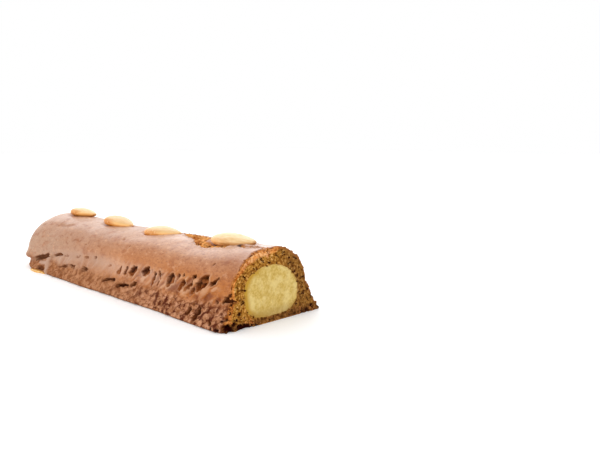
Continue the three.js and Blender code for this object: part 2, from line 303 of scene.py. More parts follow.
# %% Sizes of the bar
LENGTH = 222.0
HEIGHT = 33.2  # of the crown, at both ends
CROWN_SAG = 1.6  # how much lower the crown is half-way
BOW = 1.0  # how far the bar bends aside half-way
CUT_SLANT = math.tan(math.radians(5))  # the knife leaned
FOOT_HALF = 30.0  # half the foot's width
FOOT_LIP = 1.8  # height at which the foot starts to draw in
FOOT_ROUND = 1.0  # rounding of the foot's lower edge
FOOT_SWEEP = 1.5  # power of the foot's flare
WAIST_CUT = 23.0  # half the waist's width by the cut
WAIST_END = 26.0  # and at the rounded end
DOME_ASIDE = 1.8  # how far the dome sits aside of the foot
DOME_POWER = 2.2  # 2 would be an ellipse, and more is squarer
SEAM_CUT = 16.0  # height of the seam by the cut
SEAM_DROP = 11.0  # how much lower it is at the rounded end
SEAM_FALL = (130.0, 215.0)  # where along the bar it drops
END_POWER = 2.15  # squareness of the rounded end
END_DOME_REACH = 19.0  # over this length the dome draws in
END_FOOT_REACH = 30.0  # the foot
END_CROWN_REACH = 26.0  # the crown, downwards
END_BASE_REACH = 4.0  # and the underside, upwards
END_TIP_HEIGHT = 7.0
END_FOOT_TUCK = 4.0  # the foot stays this far behind the tip
END_FOOT_TUCK_REACH = 30.0

filling_low, filling_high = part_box("filling")
ASIDE = (filling_low.y + filling_high.y) / 2 / MM + DOME_ASIDE  # the frame is centred on the footprint
print("bar", LENGTH, "by", 2 * FOOT_HALF, "by", HEIGHT, "mm, set aside by", round(ASIDE, 2))


# %% Smooth steps and noise in numbers
def ease(value, low, high):
    """0 below low and 1 above high, with a soft change between."""
    share = np.clip((value - low) / (high - low), 0, 1)
    return share * share * (3 - 2 * share)


def mixed(first, second, share):
    """The first value where share is 0, the second where it is 1."""
    return first + (second - first) * share


def bell(value, middle, width):
    """1 in the middle, fading out on both sides."""
    return np.exp(-(((value - middle) / width) ** 2))


def lattice(i, j, seed):
    """A number from 0 to 1 for each corner of a square lattice."""
    value = np.sin(i * 127.1 + j * 311.7 + seed * 74.7) * 43758.5453
    return value - np.floor(value)


def ripple(u, v, seed):
    """Smooth noise from -1 to 1 over that lattice."""
    u, v = np.broadcast_arrays(u, v)
    i, j = np.floor(u), np.floor(v)
    across, up = ease(u - i, 0, 1), ease(v - j, 0, 1)
    low = mixed(lattice(i, j, seed), lattice(i + 1, j, seed), across)
    high = mixed(lattice(i, j + 1, seed), lattice(i + 1, j + 1, seed), across)
    return 2 * mixed(low, high, up) - 1


def rippled(u, v, seed, *layers, step=1):
    """Layers of that noise added up. A layer is its height and the size of its waves."""
    waves = enumerate(layers)
    return sum(height * ripple(u / size, v / size, seed + step * i) for i, (height, size) in waves)


print("ripple at a few places:", np.round(ripple(np.array([0.2, 1.7, 3.1]), 0.5, 1), 2))


# %% Lines along the bar
def end_share(from_tip, reach):
    """Share of full size that an outline has near the rounded end."""
    left = np.clip(1 - from_tip / reach, 0, 1)
    return (1 - left**END_POWER) ** (1 / END_POWER)


def seam_height(along):
    return SEAM_CUT - SEAM_DROP * ease(along, *SEAM_FALL)


def waist_half(along):
    return mixed(WAIST_CUT, WAIST_END, ease(along, *SEAM_FALL))


def mid_span(along):
    return np.sin(np.pi * np.clip(along / LENGTH, 0, 1)) ** 2


def crown_height(along):
    return HEIGHT - CROWN_SAG * mid_span(along)


def middle_line(along, height):
    domed = ease(height, FOOT_LIP, seam_height(along))
    return ASIDE - BOW * mid_span(along) - DOME_ASIDE * domed * end_share(LENGTH - along, END_FOOT_REACH)


print("crown half-way:", crown_height(LENGTH / 2), "mm, seam at the rounded end:", seam_height(LENGTH), "mm")

# %% The cross-section
NEAR_COLUMNS = {"foot": 44, "band": 26, "dome": 34}  # the flank with the open tears has more points
BACK_COLUMNS = {"foot": 30, "band": 14, "dome": 26}
BAND_HEIGHT = 8.0  # of the torn band above the seam
CORNER_ROUND = 1.7  # how far the foot draws in at the cut
CORNER_ROUND_REACH = 5.0
FOOT_WANDER = 0.9  # how far the foot's outline wavers
FOOT_WAVE = 21.0
FOOT_EDGE_TURNS = np.radians((30, 60, 90))  # steps round the foot's lower edge


def half_section(along, columns, seed, spread):
    """Half widths and heights of one half of the section, from under the foot up to the crown."""
    seam, waist, crown = seam_height(along), waist_half(along), crown_height(along)
    corner = CORNER_ROUND * (1 - ease(along, 0, CORNER_ROUND_REACH))
    foot = FOOT_HALF + FOOT_WANDER * ripple(along / FOOT_WAVE, 0.5, seed) - corner + spread
    widths, heights = [foot - FOOT_ROUND], [0 * along]
    for angle in FOOT_EDGE_TURNS:
        widths.append(foot - FOOT_ROUND * (1 - math.sin(angle)))
        heights.append(0 * along + FOOT_ROUND * (1 - math.cos(angle)))
    for share in np.arange(1, columns["foot"] + 1) / columns["foot"]:
        widths.append(waist + (foot - waist) * (1 - share) ** FOOT_SWEEP)
        heights.append(mixed(FOOT_LIP, seam, share))
    for up in BAND_HEIGHT * np.arange(1, columns["band"] + 1) / columns["band"]:
        widths.append(waist * (1 - (up / (crown - seam)) ** DOME_POWER) ** (1 / DOME_POWER))
        heights.append(seam + up)
    start = np.arcsin((BAND_HEIGHT / (crown - seam)) ** (DOME_POWER / 2))
    for share in np.arange(1, columns["dome"] + 1) / columns["dome"]:
        angle = mixed(start, np.pi / 2, share)
        widths.append(waist * np.maximum(0, np.cos(angle)) ** (2 / DOME_POWER))
        heights.append(seam + (crown - seam) * np.sin(angle) ** (2 / DOME_POWER))
    return np.stack(widths, 1), np.stack(heights, 1)


print("points up the near and back flanks:", sum(NEAR_COLUMNS.values()), sum(BACK_COLUMNS.values()))

# %% [markdown]
# The knife leaned a little, so the first ring lies on a slanted plane, and the rings behind it straighten
# up over a short stretch. The last rings draw in to a blunt rounded end. The near and the back flank are
# made apart, because their tears differ, and then joined into rings round the whole bar.

# %% Rings along the bar
TORN_REACH = 100.0  # the torn stretch has closer rings
TORN_STEP = 0.45
PLAIN_STEP = 1.0
END_RINGS = 28
STRAIGHTEN_REACH = 24.0
BASE_COLUMNS = 52
FOOT_SPREAD = ((0, 38, 58, 90, 105, 160, 180), (1.6, 1.6, 0.3, 0.1, 1.0, 1.4, 0.5))  # along, extra width

straight = LENGTH - END_CROWN_REACH
along = np.concatenate([
    np.arange(0, TORN_REACH, TORN_STEP),
    np.arange(TORN_REACH, straight, PLAIN_STEP),
    straight + END_CROWN_REACH * np.sin(np.pi / 2 * np.arange(END_RINGS) / END_RINGS),
])[:, None]


def half_skin(sign, columns, seed, spread):
    """Points of one flank, with their distances along the bar, up, round the section and across it."""
    width, height = half_section(along[:, 0], columns, seed, spread)
    full_width = sign * width
    from_tip = LENGTH - along
    low = 1 - ease(height, 0, END_TIP_HEIGHT)
    reach = np.where(height > END_TIP_HEIGHT, END_CROWN_REACH, END_BASE_REACH)
    drawn_back = END_FOOT_TUCK * low * (1 - ease(from_tip, 0, END_FOOT_TUCK_REACH))
    width = width * end_share(from_tip, mixed(END_DOME_REACH, END_FOOT_REACH, low))
    height = mixed(END_TIP_HEIGHT, height, end_share(from_tip, reach))
    place = along + height * CUT_SLANT * np.clip(1 - along / STRAIGHTEN_REACH, 0, 1)
    step = np.hypot(np.diff(width, axis=1), np.diff(height, axis=1))
    girth = np.concatenate([0 * along, np.cumsum(step, axis=1)], axis=1)
    across = sign * width + middle_line(along, height)
    points = np.stack([LENGTH / 2 - place + drawn_back, across, height], axis=2)
    return SimpleNamespace(points=points, place=place, height=height, girth=girth, across=full_width)


def joined(near_values, back_values, under=0.0):
    """Values of both flanks and the underside in the order of the skin's columns."""
    near_values, back_values = np.array(near_values), np.array(back_values)
    underside = np.full((*near_values.shape[:-1], BASE_COLUMNS - 1), float(under))
    return np.concatenate([near_values, back_values[..., -2::-1], underside], axis=-1)


near = half_skin(-1, NEAR_COLUMNS, 1, np.interp(along[:, 0], *FOOT_SPREAD))
back = half_skin(1, BACK_COLUMNS, 2, 0)
share = (np.arange(1, BASE_COLUMNS) / BASE_COLUMNS)[None, :, None]
base = mixed(back.points[:, :1], near.points[:, :1], share)
skin = np.concatenate([near.points, back.points[:, -2::-1], base], axis=1)
print("skin rings and columns:", skin.shape[:2])

# %% [markdown]
# ## Tears, slits and the baking crack
#
# The skin dried before the dough had finished rising, so it tore along the waist into slanted holes with
# smooth strands between. The holes could be cut out with Booleans, which would leave hard edges. Here each
# is a stroke from one place to another on the flank, with a half width and a depth. A point's distance to
# the nearest stroke says how far it sinks, and a little noise on that distance frays the outline.
#
# The strands overlap like shingles: a hole is deepest under its upper left side, or at its top end, or all
# over. The strokes are listed by which, and a mask keeps that place for painted shade: a dark colour where
# the overhang's shadow falls.

# %% Strokes of the tears
NEAR_TEARS = {  # along, height, to along, to height, half width, depth
    "side": [
        (25.4, 14.8, 18.4, 20.6, 2.1, 3.4), (49.3, 13, 43.2, 18.4, 1.7, 3.0),
        (70.8, 14.5, 64.8, 17.9, 1.9, 3.2), (82, 13.4, 74.8, 17.5, 1.65, 2.8),
        (86.7, 12.1, 84.7, 16.4, 1.2, 1.8), (93.8, 12, 89.4, 15.6, 1.0, 0.9),
        (104, 14.1, 102, 14.9, 0.8, 0.7),
    ],
    "top": [
        (23.1, 14.6, 20, 17.4, 0.9, 2.0), (29.5, 12.1, 27.9, 14.7, 0.9, 2.6),
        (33.6, 12.6, 28.9, 17.2, 1.2, 2.8), (39.7, 12.6, 35, 17, 1.2, 2.6),
        (55.3, 15.2, 56, 18.8, 1.2, 3.2), (57.2, 11.1, 56.5, 14, 0.8, 1.4),
        (62.3, 10.2, 59, 16.6, 1.05, 2.4),
    ],
    "all": [
        (15.8, 18, 10.8, 21.8, 1.0, 2.6), (39.3, 18.7, 39, 19, 1.0, 2.2),
        (35.7, 19.6, 35.4, 19.9, 1.0, 2.4), (29.3, 19.4, 27.1, 20.7, 0.8, 2.2),
        (78.7, 7.7, 75.2, 10.4, 0.8, 1.8), (90.2, 6.4, 80.7, 7.4, 1.0, 2.8), (106.2, 6, 95, 8.8, 0.9, 2.4),
        (130.7, 9, 124.4, 9.4, 0.95, 2.4), (144.8, 8.6, 140.5, 8.8, 0.8, 2.0),
        (159.5, 6.4, 148.3, 7.9, 0.75, 1.8), (119, 16.9, 118.8, 17, 0.9, 1.8),
        (169.3, 11.4, 159.7, 13, 0.8, 2.0), (194, 5.9, 176.5, 11, 1.35, 3.0),
        (7.3, 11.9, 1.2, 13.8, 0.9, 2.4), (5.4, 13.4, 2.0, 16.2, 0.8, 2.4),
        (10.9, 11.5, 10.6, 11.7, 0.8, 1.8), (15.7, 10.1, 15.4, 10.3, 0.8, 1.6),
        (20, 8, 20.8, 4.6, 1.3, 2.6), (20.9, 4.3, 22.3, 2.2, 0.8, 1.6), (28.1, 6.4, 27.4, 3.6, 1.0, 2.0),
        (11.4, 5.4, 9.7, 3.2, 0.8, 1.6), (186, 2, 178, 2.4, 1.1, 2.2), (20.4, 0.9, 19.6, 1.2, 0.8, 1.0),
        (26.4, 8, 25.8, 8.6, 0.7, 1.2), (17.7, 26.1, 17.5, 26.3, 0.55, 0.9),
        (132.6, 22.7, 132.3, 22.9, 0.6, 1.0), (101.8, 27.7, 99.4, 28, 0.55, 0.35),
        (150, 22.6, 141, 23.5, 0.6, 0.25), (180, 28.4, 163, 29.4, 0.7, 0.3),
        (199.5, 26.8, 196, 27.2, 0.6, 0.3), (157, 25.2, 154, 25.4, 0.5, 0.25),
        (88.6, 25.6, 88.4, 25.8, 0.75, 1.3), (156.5, 13, 150.5, 13.7, 0.6, 0.5),
        (141.1, 14.6, 136.3, 15.3, 0.6, 0.5), (130.6, 15, 126.6, 15.6, 0.6, 0.7),
    ],
}
BACK_TEARS = {
    "side": [
        (18.5, 13.6, 12, 18.8, 1.6, 4.2), (38.6, 13.2, 32.4, 18, 1.8, 4.6),
        (58, 12.6, 50.8, 17.9, 1.8, 4.6), (77.5, 12.8, 70, 17.4, 1.7, 4.4), (86, 13, 82.2, 16.6, 1.2, 2.6),
        (104, 13.5, 101, 15, 0.9, 1.2),
    ],
    "top": [
        (29, 13, 24.4, 17.6, 1.2, 3.4), (47.5, 14, 44, 17.6, 1.2, 3.2), (66, 13.4, 63.6, 17, 1.1, 2.8),
        (21.5, 12.4, 19.8, 14.2, 0.7, 1.8), (80.5, 11.6, 78.6, 13.2, 0.7, 1.6),
    ],
    "all": [
        (12, 8, 11.4, 4.4, 1.3, 2.4), (46.5, 6.1, 34, 8.3, 0.8, 2.4), (55, 9, 52, 9.8, 0.7, 1.6),
        (72, 5.6, 66.5, 6.4, 1.0, 2.4), (91, 7.8, 86, 8.9, 0.75, 2.0), (108, 6.2, 95, 7.2, 0.85, 2.6),
        (123.5, 8.4, 118.5, 9.3, 0.7, 1.8), (131, 5.4, 128, 5.6, 0.8, 1.8), (151, 7.2, 139, 8.9, 0.8, 2.2),
        (163, 9.8, 157, 10.8, 0.65, 1.6), (42.3, 17.9, 41, 18.8, 0.7, 1.8),
        (61, 18.6, 59.9, 19.4, 0.7, 1.8), (24, 19.8, 22.6, 20.6, 0.8, 2.0), (8, 12.4, 2, 14, 0.9, 2.2),
        (190, 7.4, 177, 10.8, 1.0, 2.8),
    ],
}
print("tears:", sum(map(len, NEAR_TEARS.values())), "near,", sum(map(len, BACK_TEARS.values())), "back")

# %% Outline of a tear
TEAR_INSET = 0.5  # half widths by which a stroke ends before the tear does
LARGEST_INSET = 0.3  # as a share of the stroke


def stroke_offset(place, height, start, end):
    """How far along a stroke its nearest point lies, from 0 to 1, and the distance to that point."""
    run, rise = end[0] - start[0], end[1] - start[1]
    ahead = ((place - start[0]) * run + (height - start[1]) * rise) / (run * run + rise * rise)
    ahead = np.clip(ahead, 0, 1)
    return ahead, np.hypot(place - start[0] - ahead * run, height - start[1] - ahead * rise)


def tear_outline(place, height, fray, stroke):
    """How far along a tear points lie, their distance in half widths (its edge is at 1), and their side."""
    start, end, half_width = np.array(stroke[:2]), np.array(stroke[2:4]), stroke[4]
    run, rise = end - start
    length = math.hypot(run, rise)
    spare = min(LARGEST_INSET, TEAR_INSET * half_width / length)
    ahead, off = stroke_offset(place, height, mixed(start, end, spare), mixed(end, start, spare))
    swell = 0.75 + 0.25 * np.sin(np.pi * (0.15 + 0.7 * ahead))
    side = ((place - start[0]) * rise - (height - start[1]) * run) / (length * half_width)
    return ahead, (off + fray) / (half_width * swell), side


print("5 mm above a stroke the distance is", stroke_offset(1, 5, (0, 0), (2, 0))[1])

# %% Sink the tears
TEAR_WARP = ((0.6, 3.3), (0.35, 1.5))  # height and size of the waves that bend a tear
TEAR_FRAY = ((0.32, 1.7), (0.24, 0.8))  # and of those that fray its edge
BULGE = SimpleNamespace(along=21.9, height=19.3, size=1.1, rise=2.6)  # dough that swells in the widest tear


def torn_skin(flank, tears, seed):
    """How deep the skin sinks, how far into a tear a point lies, the raised lips and where shade is painted.
    """
    depth, inside, lips, gloom = np.zeros((4, *flank.place.shape))
    place, height = (
        value + rippled(flank.place, flank.height, seed + 2 + i, *TEAR_WARP, step=3)
        for i, value in enumerate((flank.place, flank.height))
    )
    fray = rippled(place, height, seed, *TEAR_FRAY)
    clear = 1 - 0.6 * ease(place, 80, 118)
    for deepest, stroke in ((kind, stroke) for kind, strokes in tears.items() for stroke in strokes):
        deep = stroke[5]
        ahead, off, side = tear_outline(place, height, fray, stroke)
        lean = {"side": 0.5 + 0.5 * side, "top": 0.15 + 0.85 * ahead, "all": 0.8 + 0 * ahead}[deepest]
        lean = np.clip(lean, 0.1, 1)
        depth = np.maximum(depth, deep * lean * (1 - ease(off, mixed(0.3, 0.75, lean), 1.04)))
        inside = np.maximum(inside, (1 - ease(off, 0.88, 1.14)) * min(1, deep / 0.9))
        # painted shade under the overhang of the strands
        dark = (1 - ease(off, 0.64, 1.14)) * ease(lean, 0.4, 0.9) * min(0.85, deep / 2.6)
        gloom = np.maximum(gloom, dark * clear)
        edge = bell(off, 1.36, 0.26) * (0.3 + 0.7 * ease(-side, -0.5, 0.8))
        lips = np.maximum(lips, edge * min(1, deep / 3.0))
    return depth, inside, lips * (1 - inside), gloom


depth, torn, lips, gloom = joined(torn_skin(near, NEAR_TEARS, 31), torn_skin(back, BACK_TEARS, 32))
bulge = bell(near.place, BULGE.along, BULGE.size) * bell(near.height, BULGE.height, BULGE.size)
bulge = joined(bulge, 0 * back.place)
depth = depth - BULGE.rise * bulge
gloom = gloom * (1 - 0.9 * bulge)
print("deepest tear:", round(float(depth.max()), 1), "mm")

# %% [markdown]
# Between and below the holes the skin is drawn out into slanted strands. They follow no plan, so stretched
# noise makes them: quick across the strands, slow along them.

# %% Strands of the pulled skin
STRAND_WIDTH = 1.3
STRAND_LENGTH = 6.5
STRAND_HEIGHT = 0.5
STRAND_SLANT = (0.63, 0.77)  # the way across a strand: along the bar, and up


def pulled_skin(flank, seed):
    """Crests and hollows of the strands from 1 to -1, nearly 0 outside the torn stretch."""
    place, height = flank.place, flank.height
    run, rise = STRAND_SLANT
    sway = 0.5 * ripple(place / 5, height / 5, seed + 1)
    across = (run * place + rise * height) / STRAND_WIDTH + sway
    wave = ripple(across, (run * height - rise * place) / STRAND_LENGTH, seed)
    band = ease(height, 8, 12) * (1 - ease(height, 17.5, 21))
    stretch = ease(place, 6, 12) * (1 - 0.8 * ease(place, 60, 104)) * (1 - ease(place, 100, 125))
    return band * stretch * 1.5 * wave / (0.5 + np.abs(wave))


strands = joined(pulled_skin(near, 35), pulled_skin(back, 37))
print("strands stand", STRAND_HEIGHT, "mm proud at most")

# %% The crack along the crown
CRACK = np.array([  # along, offsets of its two edges from the middle line
    (2, -1.9, -0.7), (7, -1.0, 0.2), (11.6, -4.6, -1.2), (14.5, -5.4, -1.9), (18.4, -5.2, -2.2),
    (19.6, -4.6, -5.6), (23, -6.6, -7.6), (24.2, -8.8, -3.6), (28, -9.8, -3.8), (34.5, -11, -4.4),
    (41.5, -10.6, -5), (43.5, -10.3, 0.5), (47.4, -8.2, 4.2), (51.5, -5.6, 5.2), (58.7, -2.7, 7),
    (65, -0.6, 6.5), (70, 2.2, 6.4), (74, 5.2, 6.4),
])
CRACK_FRAY = ((0.55, 2.3), (0.4, 0.9))  # height and size of the waves along its edges
CRACK_SHADE_SPOTS = [  # dark spots of painted shade in the crack: along, offset from the middle line, half sizes along and across
    (19.1, -3.4, 0.9, 1.5), (26.8, -7.3, 1.0, 0.7), (34.2, -8.9, 0.8, 0.6), (45, -7.4, 1.2, 0.7),
]


def cracked_skin(flank):
    """Share of the way into the crack, the thin skin that curls up beside it, and dark spots of painted shade
    in it.
    """
    place, across = flank.place, flank.across
    low, high = (np.interp(place, CRACK[:, 0], CRACK[:, i]) for i in (1, 2))
    within = np.minimum(across - low, high - across) + rippled(place, across, 41, *CRACK_FRAY)
    ends = ease(place, 1, 3) * (1 - ease(place, 71, 75))
    shade_spots = 0 * place
    for shade_along, shade_across, half_length, half_width in CRACK_SHADE_SPOTS:
        off = np.hypot((place - shade_along) / half_length, (across - shade_across) / half_width)
        shade_spots = np.maximum(shade_spots, 1 - ease(off, 0.5, 1.2))
    return ease(within, -0.1, 0.5) * ends, bell(within, -0.6, 0.4) * ends, shade_spots


crack, curl, shade_spots = joined(cracked_skin(near), cracked_skin(back))
print("points in the crack:", int((crack > 0.5).sum()))

# %% [markdown]
# ## Almond beds
#
# The almonds were pressed into the dough, which rose a little round them. Just sinking an almond into a
# smooth dome would look cut out, so each gets a bed: a smooth bowl under it, with a low rim. The places are
# those of the solids, worked out by the same rule.

# %% Where the almonds lie
ALMOND_LENGTH = 25.0
ALMOND_WIDTH = 13.5
ALMOND_THICKNESS = 7.0
ALMOND_TAPER = 0.24  # towards its tip
ALMOND_PINCH = 0.1  # towards both ends
PROBE = 4  # the dome's slope is measured this far to each side
ALMONDS = [  # turn and dip in degrees, size and toast as shares
    SimpleNamespace(along=28, aside=0.8, turn=16, dip=0.5, size=1, proud=0.85, rim=0.3, toast=0.6),
    SimpleNamespace(along=85.3, aside=-0.3, turn=13, dip=0, size=1, proud=-0.1, rim=0.2, toast=1.5),
    SimpleNamespace(along=132.4, aside=0.3, turn=4, dip=5, size=0.97, proud=1.1, rim=0.1, toast=1.8),
    SimpleNamespace(along=183, aside=2.8, turn=12, dip=1, size=0.88, proud=1.5, rim=0.1, toast=1.4),
]


def dome_height(along, across):
    seam = seam_height(along)
    off = (abs(across) / waist_half(along)) ** DOME_POWER
    height = seam + (crown_height(along) - seam) * (1 - off) ** (1 / DOME_POWER)
    return mixed(END_TIP_HEIGHT, height, end_share(LENGTH - along, END_CROWN_REACH))


def almond_place(along, aside, turn, dip, proud):
    """Matrix that lays an almond on the dome, in millimetres."""
    roll = (dome_height(along, aside + PROBE) - dome_height(along, aside - PROBE)) / (2 * PROBE)
    drop = (dome_height(along + PROBE, aside) - dome_height(along - PROBE, aside)) / (2 * PROBE)
    spot = (LENGTH / 2 - along, aside + middle_line(along, HEIGHT), dome_height(along, aside) + proud)
    rolled = Matrix.Rotation(math.atan(roll), 4, "X")
    dipped = Matrix.Rotation(math.atan(drop) + math.radians(dip), 4, "Y")
    return Matrix.Translation(spot) @ rolled @ dipped @ Matrix.Rotation(math.radians(turn), 4, "Z")


for number, almond in enumerate(ALMONDS, 1):
    almond.matrix = almond_place(almond.along, almond.aside, almond.turn, almond.dip, almond.proud)
    low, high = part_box(f"almond_{number}")
    off = (Vector((low + high) / 2) / MM - almond.matrix.translation).length
    print(f"almond_{number} lies within {off:.1f} mm of its solid's middle")

# %% Beds in the dough
BED_DEPTH = 3.0


def almond_beds(points):
    """How deep the dough gives way under the almonds, the low rim round them, and where that rim runs."""
    bed, rim, collar = np.zeros((3, *points.shape[:2]))
    for almond in ALMONDS:
        inverse = np.array(almond.matrix.inverted())
        local = points @ inverse[:3, :3].T + inverse[:3, 3]
        u = np.clip(local[:, :, 0] / (ALMOND_LENGTH * almond.size / 2), -1.3, 1.3)
        narrow = 1 - ALMOND_TAPER * u - ALMOND_PINCH * u * u
        off = np.hypot(u, local[:, :, 1] / (ALMOND_WIDTH * almond.size / 2 * narrow))
        above = local[:, :, 2] > -8
        ridge = np.where(above, bell(off, 1.2, 0.16), 0)
        bed = np.maximum(bed, np.where(above, BED_DEPTH * (1 - ease(off, 0.6, 1.2)), 0))
        rim = np.maximum(rim, almond.rim * ridge)
        collar = np.maximum(collar, ridge)
    return bed, rim, collar


bed, bed_rim, collar = almond_beds(skin)
print("points under almonds:", int((bed > 1).sum()))

# %% [markdown]
# ## Pushing the skin in and out
#
# What is left is unevenness: slow lumps, crags of the foot, the rolled lip of the rounded end, and what the
# knife did by the cut. A sculptor would push these in by hand. Here each is a height, all heights are added
# up, and every point moves by the sum along the surface's own direction. That direction comes from the
# smooth loft: the cross product of the step to the next ring and the step to the next column.

# %% Lumps, crags and the rolled lip
LUMP_HEIGHTS = (0.3, 0.45)  # on the dome and on the foot
LUMP_SIZE = 13
CRAG_HEIGHT = 0.8
CRAG_SIZES = (3.4, 6.5)  # across and along their slant
ROLLED_LIP = 1.3
CREVICE_DEPTH = 0.7  # of the seam below that lip


def uneven_skin(flank, seed):
    place, height, girth = flank.place, flank.height, flank.girth
    seam = seam_height(place)
    foot = 1 - ease(height, seam - 4, seam + 1)
    lumps = mixed(*LUMP_HEIGHTS, foot) * ripple(place / LUMP_SIZE, girth / LUMP_SIZE, seed + 10)
    crags = ripple((place + girth) / CRAG_SIZES[0], (girth - place) / CRAG_SIZES[1], seed + 20)
    lip = ROLLED_LIP * bell(height, seam + 2.2, 2.2) * ease(place, 180, 208)
    crevice = CREVICE_DEPTH * bell(height, seam - 0.4, 0.7) * ease(place, 150, 175)
    return lumps + CRAG_HEIGHT * crags * foot + lip - crevice


uneven = joined(uneven_skin(near, 1), uneven_skin(back, 2))
print("unevenness up to", round(float(uneven.max()), 1), "mm")

# %% Corner and shoulders by the cut
CHIP_DEPTH = 1.5  # the near lower corner crumbled off
SHOULDER_REACH = 24.0
SHOULDER_RISE = 1.0  # the dome is a little fuller on its far shoulder
SHOULDER_SINK = 1.6  # and a little flatter on its near one
SHOULDER_HALF = 5.0
CORNER_HEIGHTS = (0, 3, 6, 9, 12, 15, 20, 31, 33)
CORNER_REACH = (2.4, 2.8, 3.0, 2.6, 1.8, 1.2, 0.7, 0.6, 2.6)  # the skin is gone this far from the cut
CORNER_FRAY = ((1, 1.9), (0.6, 0.9))


def crumbled_skin(height, seed):
    """1 where the knife tore the skin off beside the cut: a wide patch at the foot, a narrow edge above."""
    reach = np.interp(height, CORNER_HEIGHTS, CORNER_REACH)
    fray = rippled(along, height, seed, *CORNER_FRAY) * np.minimum(1, 0.3 * reach)
    return 1 - ease(along + fray, 0.7 * reach, 1.1 * reach)


chip = CHIP_DEPTH * (1 - ease(near.place, 0, 6)) * (1 - ease(near.height, 0, 9))
sink = SHOULDER_SINK * bell(near.height, 26, SHOULDER_HALF) * (1 - ease(near.place, 0, SHOULDER_REACH))
rise = SHOULDER_RISE * bell(back.across, 10, SHOULDER_HALF) * (1 - ease(back.place, 0, SHOULDER_REACH))
by_cut = joined(-chip - sink, rise)
crumbled = joined(crumbled_skin(near.height, 71), crumbled_skin(back.height, 73))
print("points of the crumbled edge:", int((crumbled > 0.5).sum()))

# %% Drips of egg wash
DRIPS = [  # from and to, each along and height, and half width
    ((176.4, 9.4), (171.4, 0.4), 2.9),
    ((176, 6), (185.5, 5.2), 1.8),
]

drip = 0 * near.place
for start, end, half_width in DRIPS:
    off = stroke_offset(near.place, near.height, start, end)[1]
    off = off + 0.4 * ripple(near.place / 2, near.height / 2, 75)
    drip = np.maximum(drip, 1 - ease(off, 0.3 * half_width, half_width))
drip = joined(drip, 0 * back.place)
print("points of the drips:", int((drip > 0.5).sum()))

# %% Push the skin
TEAR_LIP = 0.35
CRACK_DEPTH = 1.6  # less round the almonds and on the far side
CURL_HEIGHT = 0.4
CRUMBLED_DEPTH = 0.5
DRIP_HEIGHT = 0.8


def directions(points):
    """The way out of the surface at each point."""
    ahead = np.gradient(points, axis=0)
    round_the_ring = np.roll(points, -1, axis=1) - np.roll(points, 1, axis=1)
    normal = np.cross(round_the_ring, ahead)
    return normal / np.maximum(np.linalg.norm(normal, axis=2, keepdims=True), 1e-9)


far_side = ease(joined(near.across, back.across), -1.5, 2)
out = uneven + by_cut - depth + TEAR_LIP * lips + STRAND_HEIGHT * strands
out = out - CRACK_DEPTH * crack * (1 - 0.8 * collar) * (1 - 0.8 * far_side) + CURL_HEIGHT * curl
out = out - CRUMBLED_DEPTH * crumbled - bed + bed_rim + DRIP_HEIGHT * drip
out = out * ease(joined(near.height, back.height), 0, 2) * ease(LENGTH - along, 0, END_BASE_REACH)
skin = skin + directions(skin) * out[:, :, None]
skin[:, :, 2] = np.maximum(skin[:, :, 2], 0)
skin[0, :, 0] = LENGTH / 2 - skin[0, :, 2] * CUT_SLANT
print("relief from", round(float(out.min()), 1), "to", round(float(out.max()), 1), "mm")

# %% [markdown]
# ## The cut face and the hole for the paste
#
# The cut face runs from the first ring inwards to the hole that the paste fills. A Boolean cut would make
# the same form with ragged triangles. Here each of its points lies on a straight line between the two
# outlines, so the same columns carry on from the skin over the face and into the hole.

# %% Outline of the paste
FILLING_HALF_WIDTH = 16.3
FILLING_HALF_HEIGHT = 11.5
FILLING_MIDDLE = 14.4  # its height above the table
FILLING_BASE_POWER = 3.3  # squareness of its lower half
PASTE_WOBBLES = ((3, 0.6, 0.012), (5, 2.1, 0.012), (11, 0, 0.006))  # waves round it, turn, share of its size
PASTE_NOTCH = (2.13, 0.055, 0.05)  # a crumb pushed into the paste here: angle in radians, depth, width
PASTE_ASIDE = ASIDE - DOME_ASIDE


def paste_outline(angle, grow=0.0):
    """Points round the paste, which isn't a perfect ellipse: across the bar and up."""
    notch, notch_depth, notch_width = PASTE_NOTCH
    wobble = 1 + sum(share * np.sin(waves * angle + turn) for waves, turn, share in PASTE_WOBBLES)
    wobble = wobble - notch_depth * bell(np.mod(angle, 2 * np.pi), notch, notch_width)
    power = np.where(np.sin(angle) > 0, 2, FILLING_BASE_POWER)
    across, up = (np.sign(part) * np.abs(part) ** (2 / power) for part in (np.cos(angle), np.sin(angle)))
    across = (FILLING_HALF_WIDTH * wobble + grow) * across + PASTE_ASIDE
    return across, (FILLING_HALF_HEIGHT * np.minimum(wobble, 1) + grow) * up + FILLING_MIDDLE


def on_cut_plane(across, up):
    """Points of the slanted plane that the knife left."""
    return np.stack([LENGTH / 2 - up * CUT_SLANT, across, up], axis=-1)


print("paste:", 2 * FILLING_HALF_WIDTH, "by", 2 * FILLING_HALF_HEIGHT, "mm")

# %% Rows of the cut face and the hole
FILLING_END_WALL = 13.0  # dough left behind the paste
FILLING_END_ROUND = 11.0
FACE_STEPS = 26
HOLE_RINGS = 10
HOLE_STRAIGHT = 0.6  # share of the rings before the hole rounds off
HOLE_SMALLEST = 0.02


def round_off(share, straight):
    """Turn round a rounded end: 0 along its straight stretch, a quarter turn at the tip."""
    return max(0, (share - straight) / (1 - straight)) * math.pi / 2


